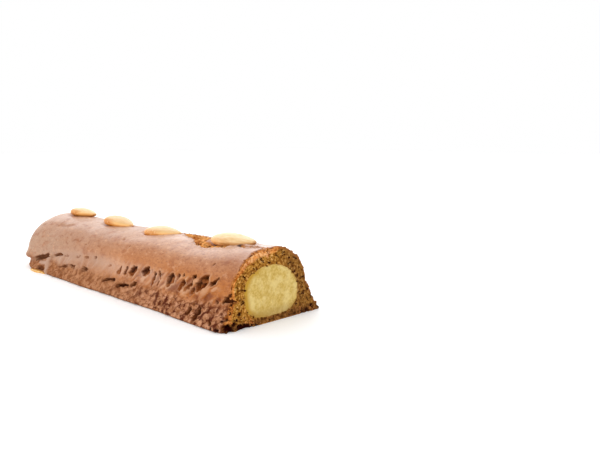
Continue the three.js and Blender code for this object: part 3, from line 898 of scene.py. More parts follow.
edge = skin[0]
angle = np.arctan2(
    (edge[:, 2] - FILLING_MIDDLE) / FILLING_HALF_HEIGHT,
    (edge[:, 1] - PASTE_ASIDE) / FILLING_HALF_WIDTH,
)
inner = on_cut_plane(*paste_outline(angle))
share = (np.arange(1, FACE_STEPS + 1) / FACE_STEPS)[:, None, None]
face = mixed(edge[None], inner[None], share)
paste_reach = LENGTH - FILLING_END_WALL
hole_middle = np.array([0, PASTE_ASIDE, FILLING_MIDDLE])
hole = []
for step in np.arange(1, HOLE_RINGS + 1) / HOLE_RINGS:
    bend = round_off(step, HOLE_STRAIGHT)
    ring = mixed(hole_middle, inner, max(HOLE_SMALLEST, math.cos(bend)))
    rounded = paste_reach - FILLING_END_ROUND * (1 - math.sin(bend))
    ring[:, 0] = LENGTH / 2 - (paste_reach * step if step < HOLE_STRAIGHT else rounded)
    hole.append(ring)
print("cut face:", face.shape[0], "rows, hole", round(paste_reach), "mm deep")

# %% [markdown]
# ## The crust as a mesh
#
# The rows are stacked from the middle of the rounded end, along the skin, over the cut face and into the
# hole. Neighbouring rows are bridged by quads and both ends are closed by a fan. Each mask is stored as a
# point attribute, which works in Geometry Nodes and in a material alike. A vertex colour would hold only
# four of them.

# %% Masks of the skin
FOOT_TOP = ((0, 20, 60, 100, 130), (12.5, 9.6, 9.6, 9, 8.4))  # along, height at which the rough foot ends
FOOT_FADE = 2.2


def foot_mask(flank, seed):
    """1 where the foot's dough is rough, ending in a wavering line below the seam."""
    place, height = flank.place, flank.height
    edge = np.minimum(np.interp(place, *FOOT_TOP), seam_height(place) - 0.5)
    edge = edge + 1.2 * ripple(place / 6, 0.5, seed) + 0.6 * ripple(place / 2.2, 0.5, seed + 1)
    rolled = 0.8 * bell(place, 201, 8) * bell(height, 6.6, 2)
    return np.maximum(1 - ease(height, edge - FOOT_FADE, edge + FOOT_FADE), rolled)


def wash_mask(flank):
    """1 where egg wash gathered and dried pale along the seam."""
    place = flank.place
    stretch = (0.6 * ease(place, 30, 70) + 0.4 * ease(place, 92, 115)) * (1 - ease(place, 176, 196))
    return bell(flank.height, seam_height(place) - 1, 4.5) * stretch


skin_masks = {
    "torn": torn,
    # painted shade in the tears and in dark spots of the crack
    "gloom": np.maximum(gloom, 0.9 * shade_spots),
    "lips": lips,
    "crack": crack,
    "curl": np.maximum(curl, 1.3 * drip),
    "strand": strands,
    "crumbled": crumbled,
    "foot": joined(foot_mask(near, 51), foot_mask(back, 52), under=1) * (1 - drip),
    "wash": joined(wash_mask(near), wash_mask(back)),
    "bed": np.clip(bed / BED_DEPTH, 0, 1),
    "outer": joined(np.ones_like(near.place), np.ones_like(back.place)),
}
print("share of the skin that is foot:", round(float(skin_masks["foot"].mean()), 2))


# %% Bridge the rows
def bridged(points, first_tip, last_tip):
    """Vertices and faces of a closed surface from rows of points, with a fan at each end."""
    row_count, count = points.shape[:2]
    flat = np.concatenate([points.reshape(-1, 3), [first_tip, last_tip]]) * MM
    row, column = np.meshgrid(np.arange(row_count - 1), np.arange(count), indexing="ij")
    a, b = row * count + column, row * count + (column + 1) % count
    quads = np.stack([a, b, b + count, a + count], axis=2).reshape(-1, 4).tolist()
    last = (row_count - 1) * count
    ends = len(flat) - 2
    fans = [(ends, (i + 1) % count, i) for i in range(count)]
    fans += [(ends + 1, last + i, last + (i + 1) % count) for i in range(count)]
    return flat, quads + fans


def piece_mesh(name, vertices, faces, masks):
    """A smooth mesh with its masks as point attributes."""
    mesh = bpy.data.meshes.new(name)
    mesh.from_pydata(vertices.tolist(), [], faces)
    for mask, values in masks.items():
        attribute = mesh.attributes.new(mask, "FLOAT", "POINT")
        attribute.data.foreach_set("value", np.asarray(values, dtype=np.float32))
    mesh.polygons.foreach_set("use_smooth", [True] * len(mesh.polygons))
    mesh.update()
    return mesh


surface = np.concatenate([skin[::-1], face, np.stack(hole)])
print("rows and columns of the crust:", surface.shape[:2])

# %% [markdown]
# The knife dragged the crumbly lower corner of the cut along, which left hollows there and along the bottom
# edge. Each hollow is a ball that pushes the points near it inwards. It is shallow, because a deep one
# would fold the mesh, and its darkness is painted shade from a mask.

# %% Hollows of the crumbly corner
FACE_HOLLOWS = [  # across the bar, height, radius on the cut face
    (-28.4, 2.5, 2.6), (-26.6, 0.8, 2.3), (-24.4, 3.2, 1.5), (-21.2, 1.2, 2.0), (-18.8, 0.9, 2.0),
    (-16.8, 0.6, 1.7), (-14.6, 0.5, 1.3), (-20.9, 6.9, 1.2), (-26.4, 8.3, 1.1), (-22.6, 4.6, 0.9),
    (-11.5, 0.5, 1.0), (-27.2, 5.2, 1.1), (24, 2.6, 1.3), (20.5, 0.9, 1.4), (17, 0.6, 1.2),
]
SKIN_HOLLOWS = [  # along, height, radius on the flank
    (1.3, 2.3, 2.5), (4.2, 1.5, 1.5), (1.4, 8.2, 1.1), (1.6, 5.6, 1.1), (3.6, 4.6, 0.9), (7.6, 0.8, 1.0),
    (2.2, 11.4, 0.8),
]
HOLLOW_DEPTH = 0.7  # as a share of the radius

hollows = []  # middle, radius, way inwards
for across, up, radius in FACE_HOLLOWS:
    hollows.append((on_cut_plane(across, up), radius, (-0.9, -0.3 * np.sign(across), 0.3)))
near_skin = skin[:, : near.points.shape[1]].reshape(-1, 3)
for from_cut, up, radius in SKIN_HOLLOWS:
    off = np.abs(near.points[:, :, 0] - LENGTH / 2 + from_cut) + np.abs(near.height - up)
    hollows.append((near_skin[np.argmin(off)], radius, (-0.3, 0.9, 0.3)))
hollow_shade = np.zeros(surface.shape[:2])
for middle, radius, inwards in hollows:
    off = np.linalg.norm(surface - middle, axis=2) / radius
    sunk = 1 - ease(off, 0.2, 1)
    surface = surface + HOLLOW_DEPTH * radius * sunk[:, :, None] * np.array(inwards)
    # painted shade in each hollow
    hollow_shade = np.maximum(hollow_shade, 1 - ease(off, 0.6, 1.0))
print("hollows:", len(hollows))


# %% Masks of the cut face
def rim_depth(edge):
    """How thick the baked rim is round the cut: thick over the near half of the top, thin elsewhere."""
    top = ease(edge[:, 2], 20, 31) * (1 - 0.85 * ease(edge[:, 1], 0, 7))
    return mixed(0.8, 2.6, top) + 0.5 * ripple(edge[:, 1] / 3, edge[:, 2] / 3, 61)


def with_tips(values):
    """Values of all rows in one list, with zeros for the tips of the two fans."""
    return np.append(values.ravel(), [0, 0])


def whole(skin_values, face_values):
    """One mask for all points: the skin's rows, the cut face's, and zeros in the hole."""
    return with_tips(np.concatenate([skin_values[::-1], face_values, np.zeros((HOLE_RINGS, len(edge)))]))


blank_face, blank_skin = np.zeros(face.shape[:2]), np.zeros(skin.shape[:2])
on_cut = blank_skin.copy()
on_cut[0] = 1
wall = np.linalg.norm(face - edge[None], axis=2)
outer_edge = skin_masks["outer"][:1]
masks = {mask: whole(values, blank_face) for mask, values in skin_masks.items()}
masks["outer"] = whole(skin_masks["outer"], blank_face + outer_edge)
masks["cut"] = whole(on_cut, blank_face + 1)
masks["rim"] = whole(on_cut, 1 - ease(wall / rim_depth(edge), 0.55, 1.15))
masks["inset"] = whole(blank_skin, ease(wall, 0.2, 1.2))
masks["gloom"] = np.maximum(masks["gloom"], with_tips(hollow_shade))
print("masks:", list(masks))

# %% Where crumbs cling
PATCH_SIZE = 2.6  # they cling in patches

by_edge = 0.5 * (1 - ease(wall, 0.3, 0.9)) * outer_edge
low_face = (1 - ease(face[:, :, 2], 1.5, 6)) * ease(np.abs(face[:, :, 1]), 9, 16)
on_skin = np.maximum(crumbled, 0.8 * crack * (1 - skin_masks["bed"]))
patches = ripple(surface[:, :, 1] / PATCH_SIZE, (surface[:, :, 2] + surface[:, :, 0]) / PATCH_SIZE, 62)
patches = ease(patches, -0.1, 0.6) * (1 - hollow_shade)
masks["clinging"] = whole(on_skin, np.maximum(by_edge, low_face)) * with_tips(patches)
print("points where crumbs cling:", int((masks["clinging"] > 0.5).sum()))

# %% Crust mesh
tip = (-LENGTH / 2, ASIDE, END_TIP_HEIGHT)
hole_end = (LENGTH / 2 - paste_reach, PASTE_ASIDE, FILLING_MIDDLE)
crust_mesh = piece_mesh("crust_form", *bridged(surface, tip, hole_end), masks)
print("crust form:", len(crust_mesh.vertices), "points,", len(crust_mesh.polygons), "faces")

# %% [markdown]
# ## Crumb and crags by Geometry Nodes
#
# The baked surface has texture at a scale that is too fine to place by hand and too deep for a bump map:
# granules and creases on the foot, ragged walls inside the tears, pores in the cut crumb. A Geometry Nodes
# tree moves each point along its normal by noise, weighed by the masks. Its sizes are inputs of the tree,
# so they can be tried out in the modifier panel.

# %% Start and end of a tree
def new_tree(name, sizes):
    """A Geometry Nodes tree with named number inputs, a wire for its geometry and a wire for each input."""
    tree = bpy.data.node_groups.new(name, "GeometryNodeTree")
    tree.interface.new_socket("Geometry", in_out="INPUT", socket_type="NodeSocketGeometry")
    for size in sizes:
        tree.interface.new_socket(size, in_out="INPUT", socket_type="NodeSocketFloat")
    tree.interface.new_socket("Geometry", in_out="OUTPUT", socket_type="NodeSocketGeometry")
    group = tree.nodes.new("NodeGroupInput")
    wires = {size: Wire(tree, group.outputs[size]) for size in sizes}
    return tree, Wire(tree, group.outputs["Geometry"]), wires


def close_tree(geometry, material):
    """Ends a tree in Realize Instances and Set Material."""
    real = geometry.node("GeometryNodeRealizeInstances", None, {"Geometry": geometry})
    dressed = real.node("GeometryNodeSetMaterial", None, {"Geometry": real, "Material": material})
    output = dressed.tree.nodes.new("NodeGroupOutput")
    dressed.tree.links.new(dressed.socket, output.inputs["Geometry"])


def masks_of(geometry, *names):
    """Wires for masks that are stored on the mesh."""
    kind = "GeometryNodeInputNamedAttribute"
    return [geometry.node(kind, {"data_type": "FLOAT"}, {"Name": name}) for name in names]


def raised(geometry, lift):
    """Moves each point along its normal by a lift in millimetres."""
    offset = geometry.node("GeometryNodeInputNormal").vector("SCALE", lift * MM)
    return geometry.node("GeometryNodeSetPosition", None, {"Geometry": geometry, "Offset": offset})


print("helpers for trees ready")

# %% [markdown]
# The granules and pores are needed twice, as relief here and as painted shade and highlight in the
# material, so they are functions of the place alone. Both trees call them and get the same pattern.

# %% Patterns of the dough
def warped(place, size, amount, seed):
    """A place pushed about by noise, which makes a pattern ragged. Size and amount in millimetres."""
    push = noise(place, size, seed=seed, out="Color").vector("SUBTRACT", (0.5, 0.5, 0.5))
    return place.vector("ADD", push.vector("SCALE", 2 * amount * MM))


def foot_granules(place):
    """Near 1 on top of the foot's granules and near 0 between them."""
    slanted = stretched(warped(place, 3.0, 1.2, 3), (0, -48, 0), (1.0, 1.0, 0.55))
    lumps = 1 - 1.2 * cells(slanted, 2.2)
    return 0.65 * lumps + 0.25 * noise(slanted, 1.5, 2, 0.6, 4) + 0.5 * noise(place, 0.9, 2, 0.65, 5) - 0.16


def crumb_pores(place):
    """1 in the pores of the cut crumb. Only the place on the face counts, not the depth."""
    flat = place.vector("MULTIPLY", (0, 1, 1))
    large = noise(flat, 2.0, 2, 0.6, 7).ease(0.43, 0.34)
    small = cells(warped(flat, 1.2, 0.4, 8), 1.5).ease(0.34, 0.16) * noise(flat, 4, 1, 0.5, 9).ease(0.4, 0.6)
    return large.larger(small)


print("patterns of the dough: granules and pores")

# %% The relief tree
CRUMB_SIZES = {
    "Granule height": 1.7, "Crease depth": 0.9, "Tear raggedness": 1.2, "Crack raggedness": 2.4,
    "Corner raggedness": 2.4, "Crumb height": 0.9, "Edge height": 1.1, "Pore depth": 0.9,
    "Skin unevenness": 0.22,
}

crumb_tree, geometry, size = new_tree("crumb relief", CRUMB_SIZES)
spot = geometry.node("GeometryNodeInputPosition")
foot, torn, crack, cut = masks_of(geometry, "foot", "torn", "crack", "cut")
outer, inset, rim, crumbled = masks_of(geometry, "outer", "inset", "rim", "crumbled")
along_bar, up = (spot.axis(i) / MM for i in (0, 2))  # from the middle towards the cut, and from the table
rough_foot = foot * outer * (0.5 + 0.5 * along_bar.ease(0, 70)) * up.ease(0.4, 2.2)
print("inputs of the tree:", list(CRUMB_SIZES))

# %% Layers of relief
creases = noise(stretched(spot, (0, -45, 0), (1.0, 1.0, 0.45)), 3.0, 3, 0.6, 3) - 0.5
granules = foot_granules(spot) - 0.5
foot_height = rough_foot * (granules * size["Granule height"] + creases * 2 * size["Crease depth"])
ragged = torn * size["Tear raggedness"] + crack * size["Crack raggedness"]
ragged = ragged + crumbled * size["Corner raggedness"] * up.ease(0.4, 3)
ragged = ragged * (noise(spot, 2.0, 3, 0.6, 5) - 0.5)
crumb_height = (noise(spot, 1.7, 3, 0.65, 7) - 0.5) * size["Crumb height"] * cut * inset
edge_height = (noise(spot, 2.2, 3, 0.6, 6) - 0.55) * size["Edge height"] * cut * (1 - inset) * up.ease(1, 3)
pore_depth = crumb_pores(spot) * cut * (1 - rim * 0.7) * inset * size["Pore depth"]
skin_height = (noise(spot, 9, 2, 0.5, 9) - 0.5) * 2 * size["Skin unevenness"] * (1 - foot) * (1 - cut) * outer
lift = foot_height + ragged + crumb_height + edge_height - pore_depth + skin_height
crust_finish, shader, spot = new_finish("baked crust")
close_tree(raised(geometry, lift), crust_finish)
print("crumb relief has", len(crumb_tree.nodes), "nodes")


# %% Apply the tree
def grown(name, mesh, tree, sizes):
    """The plain mesh that a tree makes of a mesh, as a new object."""
    source = placed("source", mesh)
    modifier = source.modifiers.new(tree.name, "NODES")
    modifier.node_group = tree
    for item in tree.interface.items_tree:
        if item.in_out == "INPUT" and item.name in sizes:
            modifier[item.identifier] = sizes[item.name]
    graph = bpy.context.evaluated_depsgraph_get()
    made = bpy.data.meshes.new_from_object(source.evaluated_get(graph), depsgraph=graph)
    source.modifiers.remove(modifier)
    bpy.data.objects.remove(source)
    return placed(name, made)


def set_on_table(piece):
    """Points that the relief pushed below the table go back up to it."""
    points = np.empty(len(piece.data.vertices) * 3)
    piece.data.vertices.foreach_get("co", points)
    points[2::3] = np.maximum(points[2::3], 0)
    piece.data.vertices.foreach_set("co", points)
    piece.data.update()


crust = grown("baked_crust", crust_mesh, crumb_tree, CRUMB_SIZES)
set_on_table(crust)
print("crust:", len(crust.data.polygons), "faces")

# %% [markdown]
# ## Finish of the crust
#
# One material covers the crust, because its parts run into each other: orange-brown glazed flanks, a top
# that is paler and shinier from the wash and from painted sheen, a darker matt foot, tears made near-black
# by painted shade, and the open crumb of the cut.
# Separate materials would meet in hard lines. The masks choose between the colours and noise breaks each
# one up.

# %% Masks and patterns of the finish
def shader_masks(bench, *names):
    """Wires for masks that are stored on the mesh, in a material."""
    return [bench.node("ShaderNodeAttribute", {"attribute_name": name}, out="Fac") for name in names]


torn, crack, foot, wash, bedded = shader_masks(spot, "torn", "crack", "foot", "wash", "bed")
cut, rim, inset, gloom, lips = shader_masks(spot, "cut", "rim", "inset", "gloom", "lips")
strand, curl, crumbled = shader_masks(spot, "strand", "curl", "crumbled")
along_bar, across, up = (spot.axis(i) / MM for i in range(3))
drawn_out = spot.vector("MULTIPLY", (0.6, 1, 1))
blotch = noise(spot, 14, 3, 0.6, 1)
mottle = noise(drawn_out, 3.6, 3, 0.6, 3)
cloudy = noise(drawn_out, 2.4, 3, 0.65, 10)
speckle = noise(spot, 1.4, 3, 0.65, 2)
fleck = noise(drawn_out, 1.4, 3, 0.65, 12)
skin_grain = noise(drawn_out, 0.9, 2, 0.6, 13)
print("patterns from blotches of 14 mm down to a grain of 0.9 mm")

# %% Colours of the skin
flank_colour = layered(
    blend(blotch.ease(0.35, 0.65), tint(178, 104, 44), tint(192, 120, 58)),
    (along_bar.ease(40, -70) * 0.9, tint(180, 143, 117)),  # painted sheen, paler towards the rounded end
)
crown_colour = layered(
    blend(blotch.ease(0.35, 0.65), tint(180, 118, 75), tint(194, 138, 99)),
    (along_bar.ease(60, -20) * 0.6, tint(182, 143, 120)),  # painted sheen, paler towards the rounded end
    (along_bar.ease(75, 100) * 0.35, tint(166, 104, 64)),  # darker by the cut
    (along_bar.ease(-60, -100) * 0.5, tint(200, 164, 142)),  # painted sheen, palest on the rounded end
)
freckles = cells(spot, 5.5).ease(0.1, 0.04) * speckle.ease(0.42, 0.6)
patchy = mottle.ease(0.15, 0.45) * 0.85
drawn_skin_and_highlight = lips.larger(strand.ease(0.1, 0.8) * 0.8)
dried_wash = (wash * blotch.ease(0.25, 0.55)).larger(curl * 0.95)
wash_colour = blend(along_bar.ease(20, -10), tint(210, 170, 146), tint(184, 143, 118))
skin_colour = layered(
    # the top is paler than the flanks: partly its glaze, partly painted sheen
    blend(up.ease(18, 30), flank_colour, crown_colour),
    (mottle.ease(0.5, 0.72) * 0.7, tint(158, 86, 36)),
    (cloudy.ease(0.44, 0.3) * 0.6, tint(142, 74, 30)),
    (cloudy.ease(0.54, 0.7) * 0.4, tint(222, 168, 128)),
    (fleck.ease(0.5, 0.74) * (0.12 + 0.14 * along_bar.ease(-60, 30)), tint(218, 156, 104)),
    (skin_grain.ease(0.52, 0.3) * (0.35 + 0.3 * along_bar.ease(0, 80)), tint(146, 80, 36)),
    (strand.ease(-0.1, -0.7) * 0.8, tint(124, 58, 16)),  # painted shade in the hollows between the strands
    (drawn_skin_and_highlight * patchy, tint(208, 158, 120)),  # their crests and the lips of the tears: paler stretched skin, and painted highlight
    (dried_wash * patchy, wash_colour),
    (freckles * 0.6, tint(120, 62, 30)),
)
print("skin colours mixed")

# %% Colours of the foot
dusty = noise(spot, 4, 3, 0.65, 4)
smudge = noise(spot, 2.6, 3, 0.6, 15)
granules = foot_granules(spot)
near_cut = along_bar.ease(0, 70)
foot_colour = layered(
    blend(dusty.ease(0.35, 0.65), tint(166, 107, 68), tint(202, 144, 106)),
    (speckle.ease(0.53, 0.68) * (0.55 + 0.35 * near_cut), tint(220, 164, 126)),
    (smudge.ease(0.52, 0.38) * (0.8 - 0.3 * near_cut), tint(116, 50, 14)),
    (skin_grain.ease(0.47, 0.3) * near_cut * 0.8, tint(84, 28, 8)),
    (granules.ease(0.5, 0.26) * (0.55 + 0.37 * along_bar.ease(20, 70)), tint(84, 26, 6)),  # painted shade between the granules
    (granules.ease(0.58, 0.78) * (0.3 + 0.45 * along_bar.ease(-30, 60)), tint(224, 168, 134)),  # painted highlight on their tops
    (along_bar.ease(60, 0) * 0.35, tint(168, 112, 70)),
    (up.ease(1.2, 0.2) * 0.7, tint(104, 60, 32)),  # baked edge on the table, partly painted contact shade
)
print("foot colours mixed")

# %% Colours of the tears, the crack and the crumbled edge
broken = noise(spot, 2.0, 3, 0.6, 5)
crumble_colour = layered(
    blend(broken.ease(0.36, 0.6), tint(142, 70, 16), tint(220, 140, 66)),
    (speckle.ease(0.56, 0.7) * 0.7, tint(242, 186, 124)),
    # painted shade where the ragged relief sinks
    (broken.ease(0.47, 0.34), tint(66, 10, 0)),
    (speckle.ease(0.48, 0.37) * 0.85, tint(62, 12, 0)),
)
crack_colour = layered(
    crumble_colour,
    (crack * 0.4, tint(250, 176, 96)),
    (speckle.ease(0.5, 0.64) * 0.6, tint(255, 194, 122)),
)
# inside the tears: the torn crumb's own darker colour, and painted shade
torn_colour = layered(
    blend(speckle.ease(0.35, 0.65), tint(112, 46, 8), tint(166, 98, 48)),
    # painted shade where the ragged relief sinks
    (broken.ease(0.5, 0.34) * 0.7, tint(70, 14, 0)),
    (along_bar.ease(30, -10) * 0.5, tint(152, 100, 68)),
)
print("tear and crack colours mixed")

# %% Colours of the cut crumb
pores = crumb_pores(spot)
crumb_grain = noise(spot, 1.2, 3, 0.7, 6)
top_left = up.ease(24, 31) * across.ease(2, -4)
rim_colour = layered(
    blend(speckle.ease(0.35, 0.64), tint(168, 84, 16), tint(248, 166, 88)),
    (across.ease(1, 10) * 0.85, tint(140, 92, 44)),  # the far half is in shade
    # painted highlight on the top left of the rim
    (top_left * crumb_grain.ease(0.4, 0.56) * 0.8, tint(254, 196, 138)),
)
strip = up.ease(4.5, 2) * inset.ease(0.0, 0.3) * 0.75
strip_colour = blend(crumb_grain.ease(0.4, 0.6), tint(58, 28, 8), tint(124, 74, 36))
crumb_colour = layered(
    blend(crumb_grain.ease(0.34, 0.62), tint(112, 56, 0), tint(200, 142, 58)),
    (crumb_grain.ease(0.54, 0.68) * 0.9, tint(242, 190, 126)),
    # painted shade on the far half
    (across.ease(2, 12) * 0.5, tint(114, 74, 36)),
    # painted shade in the pores of the far half
    (crumb_grain.ease(0.42, 0.3) * across.ease(0, 10) * 0.7, tint(64, 24, 0)),
    # painted shade in the pores
    (pores * (1 - rim * 0.6) * inset, tint(54, 4, 0)),
    (inset.ease(1.0, 0.4) * across.ease(4, 10) * 0.85, tint(150, 98, 50)),
    (rim * up.ease(0.4, 2.6), rim_colour),
    (strip, strip_colour),  # darker along the bottom edge: the bottom crust, and painted shade by the table
)
print("crumb colours mixed")

# %% All colours together, gloss and fine relief
crust_colour = layered(
    skin_colour,
    (foot, foot_colour),
    (crumbled, crumble_colour),
    (crack, crack_colour),
    (torn * 0.85, torn_colour),
    (cut, crumb_colour),
    # painted shade in the tears, the crack and the corner's hollows
    (gloom, tint(44, 3, 0)),
    # painted shade in the beds under the almonds
    (bedded.ease(0.35, 0.9) * 0.85, tint(110, 48, 12)),
)
matt = foot.larger(torn).larger(crack).larger(cut).larger(crumbled)
roughness = 0.36 + 0.2 * (blotch - 0.5) + 0.2 * (speckle - 0.5) + matt * 0.42
fine = (noise(spot, 0.8, 3, 0.65, 8) - 0.5) * (0.12 + 0.6 * matt) + (dusty - 0.5) * (0.2 + 0.3 * matt)
fine = fine + granules * foot * 1.2 - pores * cut * inset * 0.8
glaze = 0.25 + up.ease(20, 30) * (0.1 + 0.65 * along_bar.ease(10, 90))
glaze = glaze * (1 - matt) * (1 - bedded)
feed(shader, Base_Color=crust_colour, Roughness=roughness, Normal=bumped(fine, 0.6, 0.9))
feed(shader, Coat_Weight=glaze, Coat_Roughness=0.3, Specular_IOR_Level=0.05)
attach(crust, "root")
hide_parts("crust")
print("crust finished")

# %% [markdown]
# ## The almond paste
#
# Ground almonds and sugar make a pale, grainy paste that swells a little at the cut. A capped tube would do
# for the log, but its end would be too flat. So the end is a dish of rings from the middle outwards,
# followed by the side of the log inside the crust. A second tree then raises its grain.

# %% Paste form
PASTE_COLUMNS = 150
DISH_RINGS = 44
LOG_RINGS = 16
LOG_STRAIGHT = 0.7  # share of the log before it rounds off
LOG_SMALLEST = 0.03
PASTE_GROW = 0.05  # the paste reaches just into the dough
PASTE_SWELL = 0.4
PASTE_END_GAP = 0.4

angle = np.linspace(0, 2 * np.pi, PASTE_COLUMNS, endpoint=False)
paste_edge = on_cut_plane(*paste_outline(angle, PASTE_GROW))
paste_middle = on_cut_plane(PASTE_ASIDE, FILLING_MIDDLE)
from_middle = np.linspace(0.02, 1, DISH_RINGS)
dish = mixed(paste_middle, paste_edge, from_middle[:, None, None])
dish[:, :, 0] += PASTE_SWELL * (1 - from_middle[:, None] ** 6)
log = []
for step in np.linspace(0.004, 1, LOG_RINGS):
    bend = round_off(step, LOG_STRAIGHT)
    ring = mixed(paste_middle, paste_edge, max(LOG_SMALLEST, math.cos(bend)))
    depth = (paste_reach - FILLING_END_ROUND) * step / LOG_STRAIGHT
    rounded = paste_reach - PASTE_END_GAP - FILLING_END_ROUND * (1 - math.sin(bend))
    ring[:, 0] = np.minimum(LENGTH / 2 - (depth if step < LOG_STRAIGHT else rounded), paste_edge[:, 0])
    log.append(ring)
print("paste:", len(dish), "rings on the cut,", len(log), "along the log")

# %% Paste mesh
ring_open = np.concatenate([np.ones(DISH_RINGS), np.zeros(LOG_RINGS)])
ring_radius = np.concatenate([from_middle, np.ones(LOG_RINGS)])
paste_masks = {
    "open": np.append(np.repeat(ring_open, PASTE_COLUMNS), [1, 0]),
    "radius": np.append(np.repeat(ring_radius, PASTE_COLUMNS), [0, 1]),
}
swollen_middle = paste_middle + np.array([PASTE_SWELL, 0, 0])
log_end = (LENGTH / 2 - paste_reach + PASTE_END_GAP, PASTE_ASIDE, FILLING_MIDDLE)
rows_of_paste = np.concatenate([dish, np.stack(log)])
paste_mesh = piece_mesh("paste_form", *bridged(rows_of_paste, swollen_middle, log_end), paste_masks)
print("paste form:", len(paste_mesh.polygons), "faces")

# %% Paste grain
GRAIN_SIZES = {"Grain height": 0.36, "Smear height": 0.5}

grain_tree, geometry, size = new_tree("paste grain", GRAIN_SIZES)
spot = geometry.node("GeometryNodeInputPosition")
(open_face,) = masks_of(geometry, "open")
grain = noise(spot, 1.3, 3, 0.6, 11) - 0.5
smear = noise(stretched(spot, (20, 0, 0), (1, 0.8, 1)), 5, 2, 0.5, 12) - 0.5
lift = open_face * (grain * size["Grain height"] + smear * size["Smear height"])
paste_finish, shader, spot = new_finish("almond paste")
close_tree(raised(geometry, lift), paste_finish)
paste = grown("almond_paste", paste_mesh, grain_tree, GRAIN_SIZES)
print("paste:", len(paste.data.polygons), "faces")

# %% Paste finish
(radius,) = shader_masks(spot, "radius")
grain = noise(spot, 1.0, 4, 0.65, 13)
cloud = noise(stretched(spot, (30, 0, 0), (1, 1.1, 0.9)), 5, 3, 0.6, 14)
pressed_in = noise(spot, 1.5, 3, 0.65, 16).ease(0.5, 0.62)
across, up = (spot.axis(i) / MM for i in (1, 2))
paste_colour = layered(
    blend(grain.ease(0.3, 0.7), tint(186, 150, 62), tint(216, 186, 104)),
    (cloud.ease(0.4, 0.64) * 0.55, tint(234, 212, 144)),
    (radius.ease(0.78, 0.96) * across.ease(-2, -12) * 0.95, tint(184, 136, 0)),  # golden on the near side
    (radius.ease(0.9, 1.0) * 0.4, tint(204, 160, 66)),
    # painted shade, darker towards the bottom
    (up.ease(8.5, 4.5) * 0.45, tint(166, 134, 70)),
    (radius.ease(0.9, 0.985) * pressed_in * 0.75, tint(160, 108, 40)),  # crumbs pressed into the edge
    (cells(spot, 3.2).ease(0.14, 0.05) * 0.4, tint(176, 130, 52)),
)
feed(shader, Base_Color=paste_colour, Roughness=0.6 + 0.25 * (grain - 0.5), Normal=bumped(grain, 0.25, 0.6))
feed(shader, Specular_IOR_Level=0.3)
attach(paste, "root")
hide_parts("filling")
print("paste finished")

# %% [markdown]
# ## The almonds
#
# A blanched almond is a flattened drop with fine grooves along it. It could be modelled once and copied,
# but four equal almonds would show. The shape follows a rule, so one Geometry Nodes tree makes it from a
# sphere, and its inputs give each almond its own size and seed. The tree also stores how far along and how
# high on the almond each point lies, so the toasted edge and the brown tip stay with the almond.

# %% The almond tree
ALMOND_INPUTS = ("Length", "Width", "Thickness", "Taper", "Groove depth", "Toast", "Seed")
ALMOND_LUMPS = 0.16

almond_tree, geometry, size = new_tree("blanched almond", ALMOND_INPUTS)
spot = geometry.node("GeometryNodeInputPosition")
side, flat, tall = (spot.axis(i) for i in range(3))
narrow = 1 - size["Taper"] * tall - ALMOND_PINCH * tall * tall
turn = side.maths("ARCTAN2", side, flat)
unrolled = spot.node("ShaderNodeCombineXYZ", None, {0: turn * 0.5, 1: tall * 0.35, 2: size["Seed"]})
streaks = {"Vector": unrolled, "Scale": 6.0, "Detail": 3.0, "Roughness": 0.6}
streak = unrolled.node("ShaderNodeTexNoise", None, streaks)
groove = (streak.ease(0.3, 0.7) - 0.5) * size["Groove depth"] * (1 - tall * tall)
lumps = {"Vector": spot, "W": size["Seed"], "Scale": 1.3, "Detail": 1.0}
lump = spot.node("ShaderNodeTexNoise", {"noise_dimensions": "4D"}, lumps)
swell = narrow * (1 + ALMOND_LUMPS * (lump - 0.5) + groove) * 0.5 * MM
shaped = spot.node("ShaderNodeCombineXYZ", None, {
    0: tall * size["Length"] * 0.5 * MM,
    1: flat * swell * size["Width"],
    2: side * swell * size["Thickness"],
})
print("inputs of the almond tree:", list(ALMOND_INPUTS))

# %% Finish the almond tree
formed = geometry.node("GeometryNodeMeshUVSphere", None, {"Segments": 72, "Rings": 44, "Radius": 1.0})
for name, value in {"tip": tall, "height": side, "streak": streak, "toast": size["Toast"]}.items():
    settings = {"data_type": "FLOAT", "domain": "POINT"}
    sockets = {"Geometry": formed, "Name": name, "Value": value}
    formed = formed.node("GeometryNodeStoreNamedAttribute", settings, sockets)
formed = formed.node("GeometryNodeSetPosition", None, {"Geometry": formed, "Position": shaped})
formed = formed.node("GeometryNodeSetShadeSmooth", None, {"Geometry": formed})
almond_finish, shader, spot = new_finish("blanched almond")
close_tree(formed, almond_finish)
print("almond tree:", len(almond_tree.nodes), "nodes")

# %% Almond finish
tip, high, streak, toasted = shader_masks(spot, "tip", "height", "streak", "toast")
fleck = noise(spot, 1.2, 3, 0.6, 21)
# more toasted low down and at the broad end; low down this is partly painted shade
baked = (high.ease(0.75, -0.1) * (0.45 + 0.55 * fleck) + tip.ease(-0.3, -0.95) * 0.5) * toasted
patch = tip.ease(-0.9, -0.5) * tip.ease(0.35, -0.1) * high.ease(0.85, 0.3) * fleck.ease(0.25, 0.5)
almond_colour = layered(
    blend(streak.ease(0.35, 0.65), tint(238, 198, 136), tint(252, 226, 180)),
    ((toasted - 0.8) * 0.7, tint(228, 178, 116)),
    (baked.ease(0.0, 1.0), tint(255, 200, 124)),
    (high.ease(0.3, -0.2) * toasted * 0.5, tint(246, 172, 84)),  # toasted lower edge, partly painted shade
    (tip.ease(-0.35, -0.95) * 0.45, tint(248, 178, 92)),  # broad end
    (patch * toasted * 0.55, tint(214, 130, 34)),
    (tip.ease(0.88, 0.99) * 0.55, tint(176, 98, 40)),  # brown tip
    (fleck.ease(0.66, 0.76) * 0.4, tint(196, 130, 66)),
)
grooves = bumped(streak + 0.4 * fleck, 0.25, 0.6)
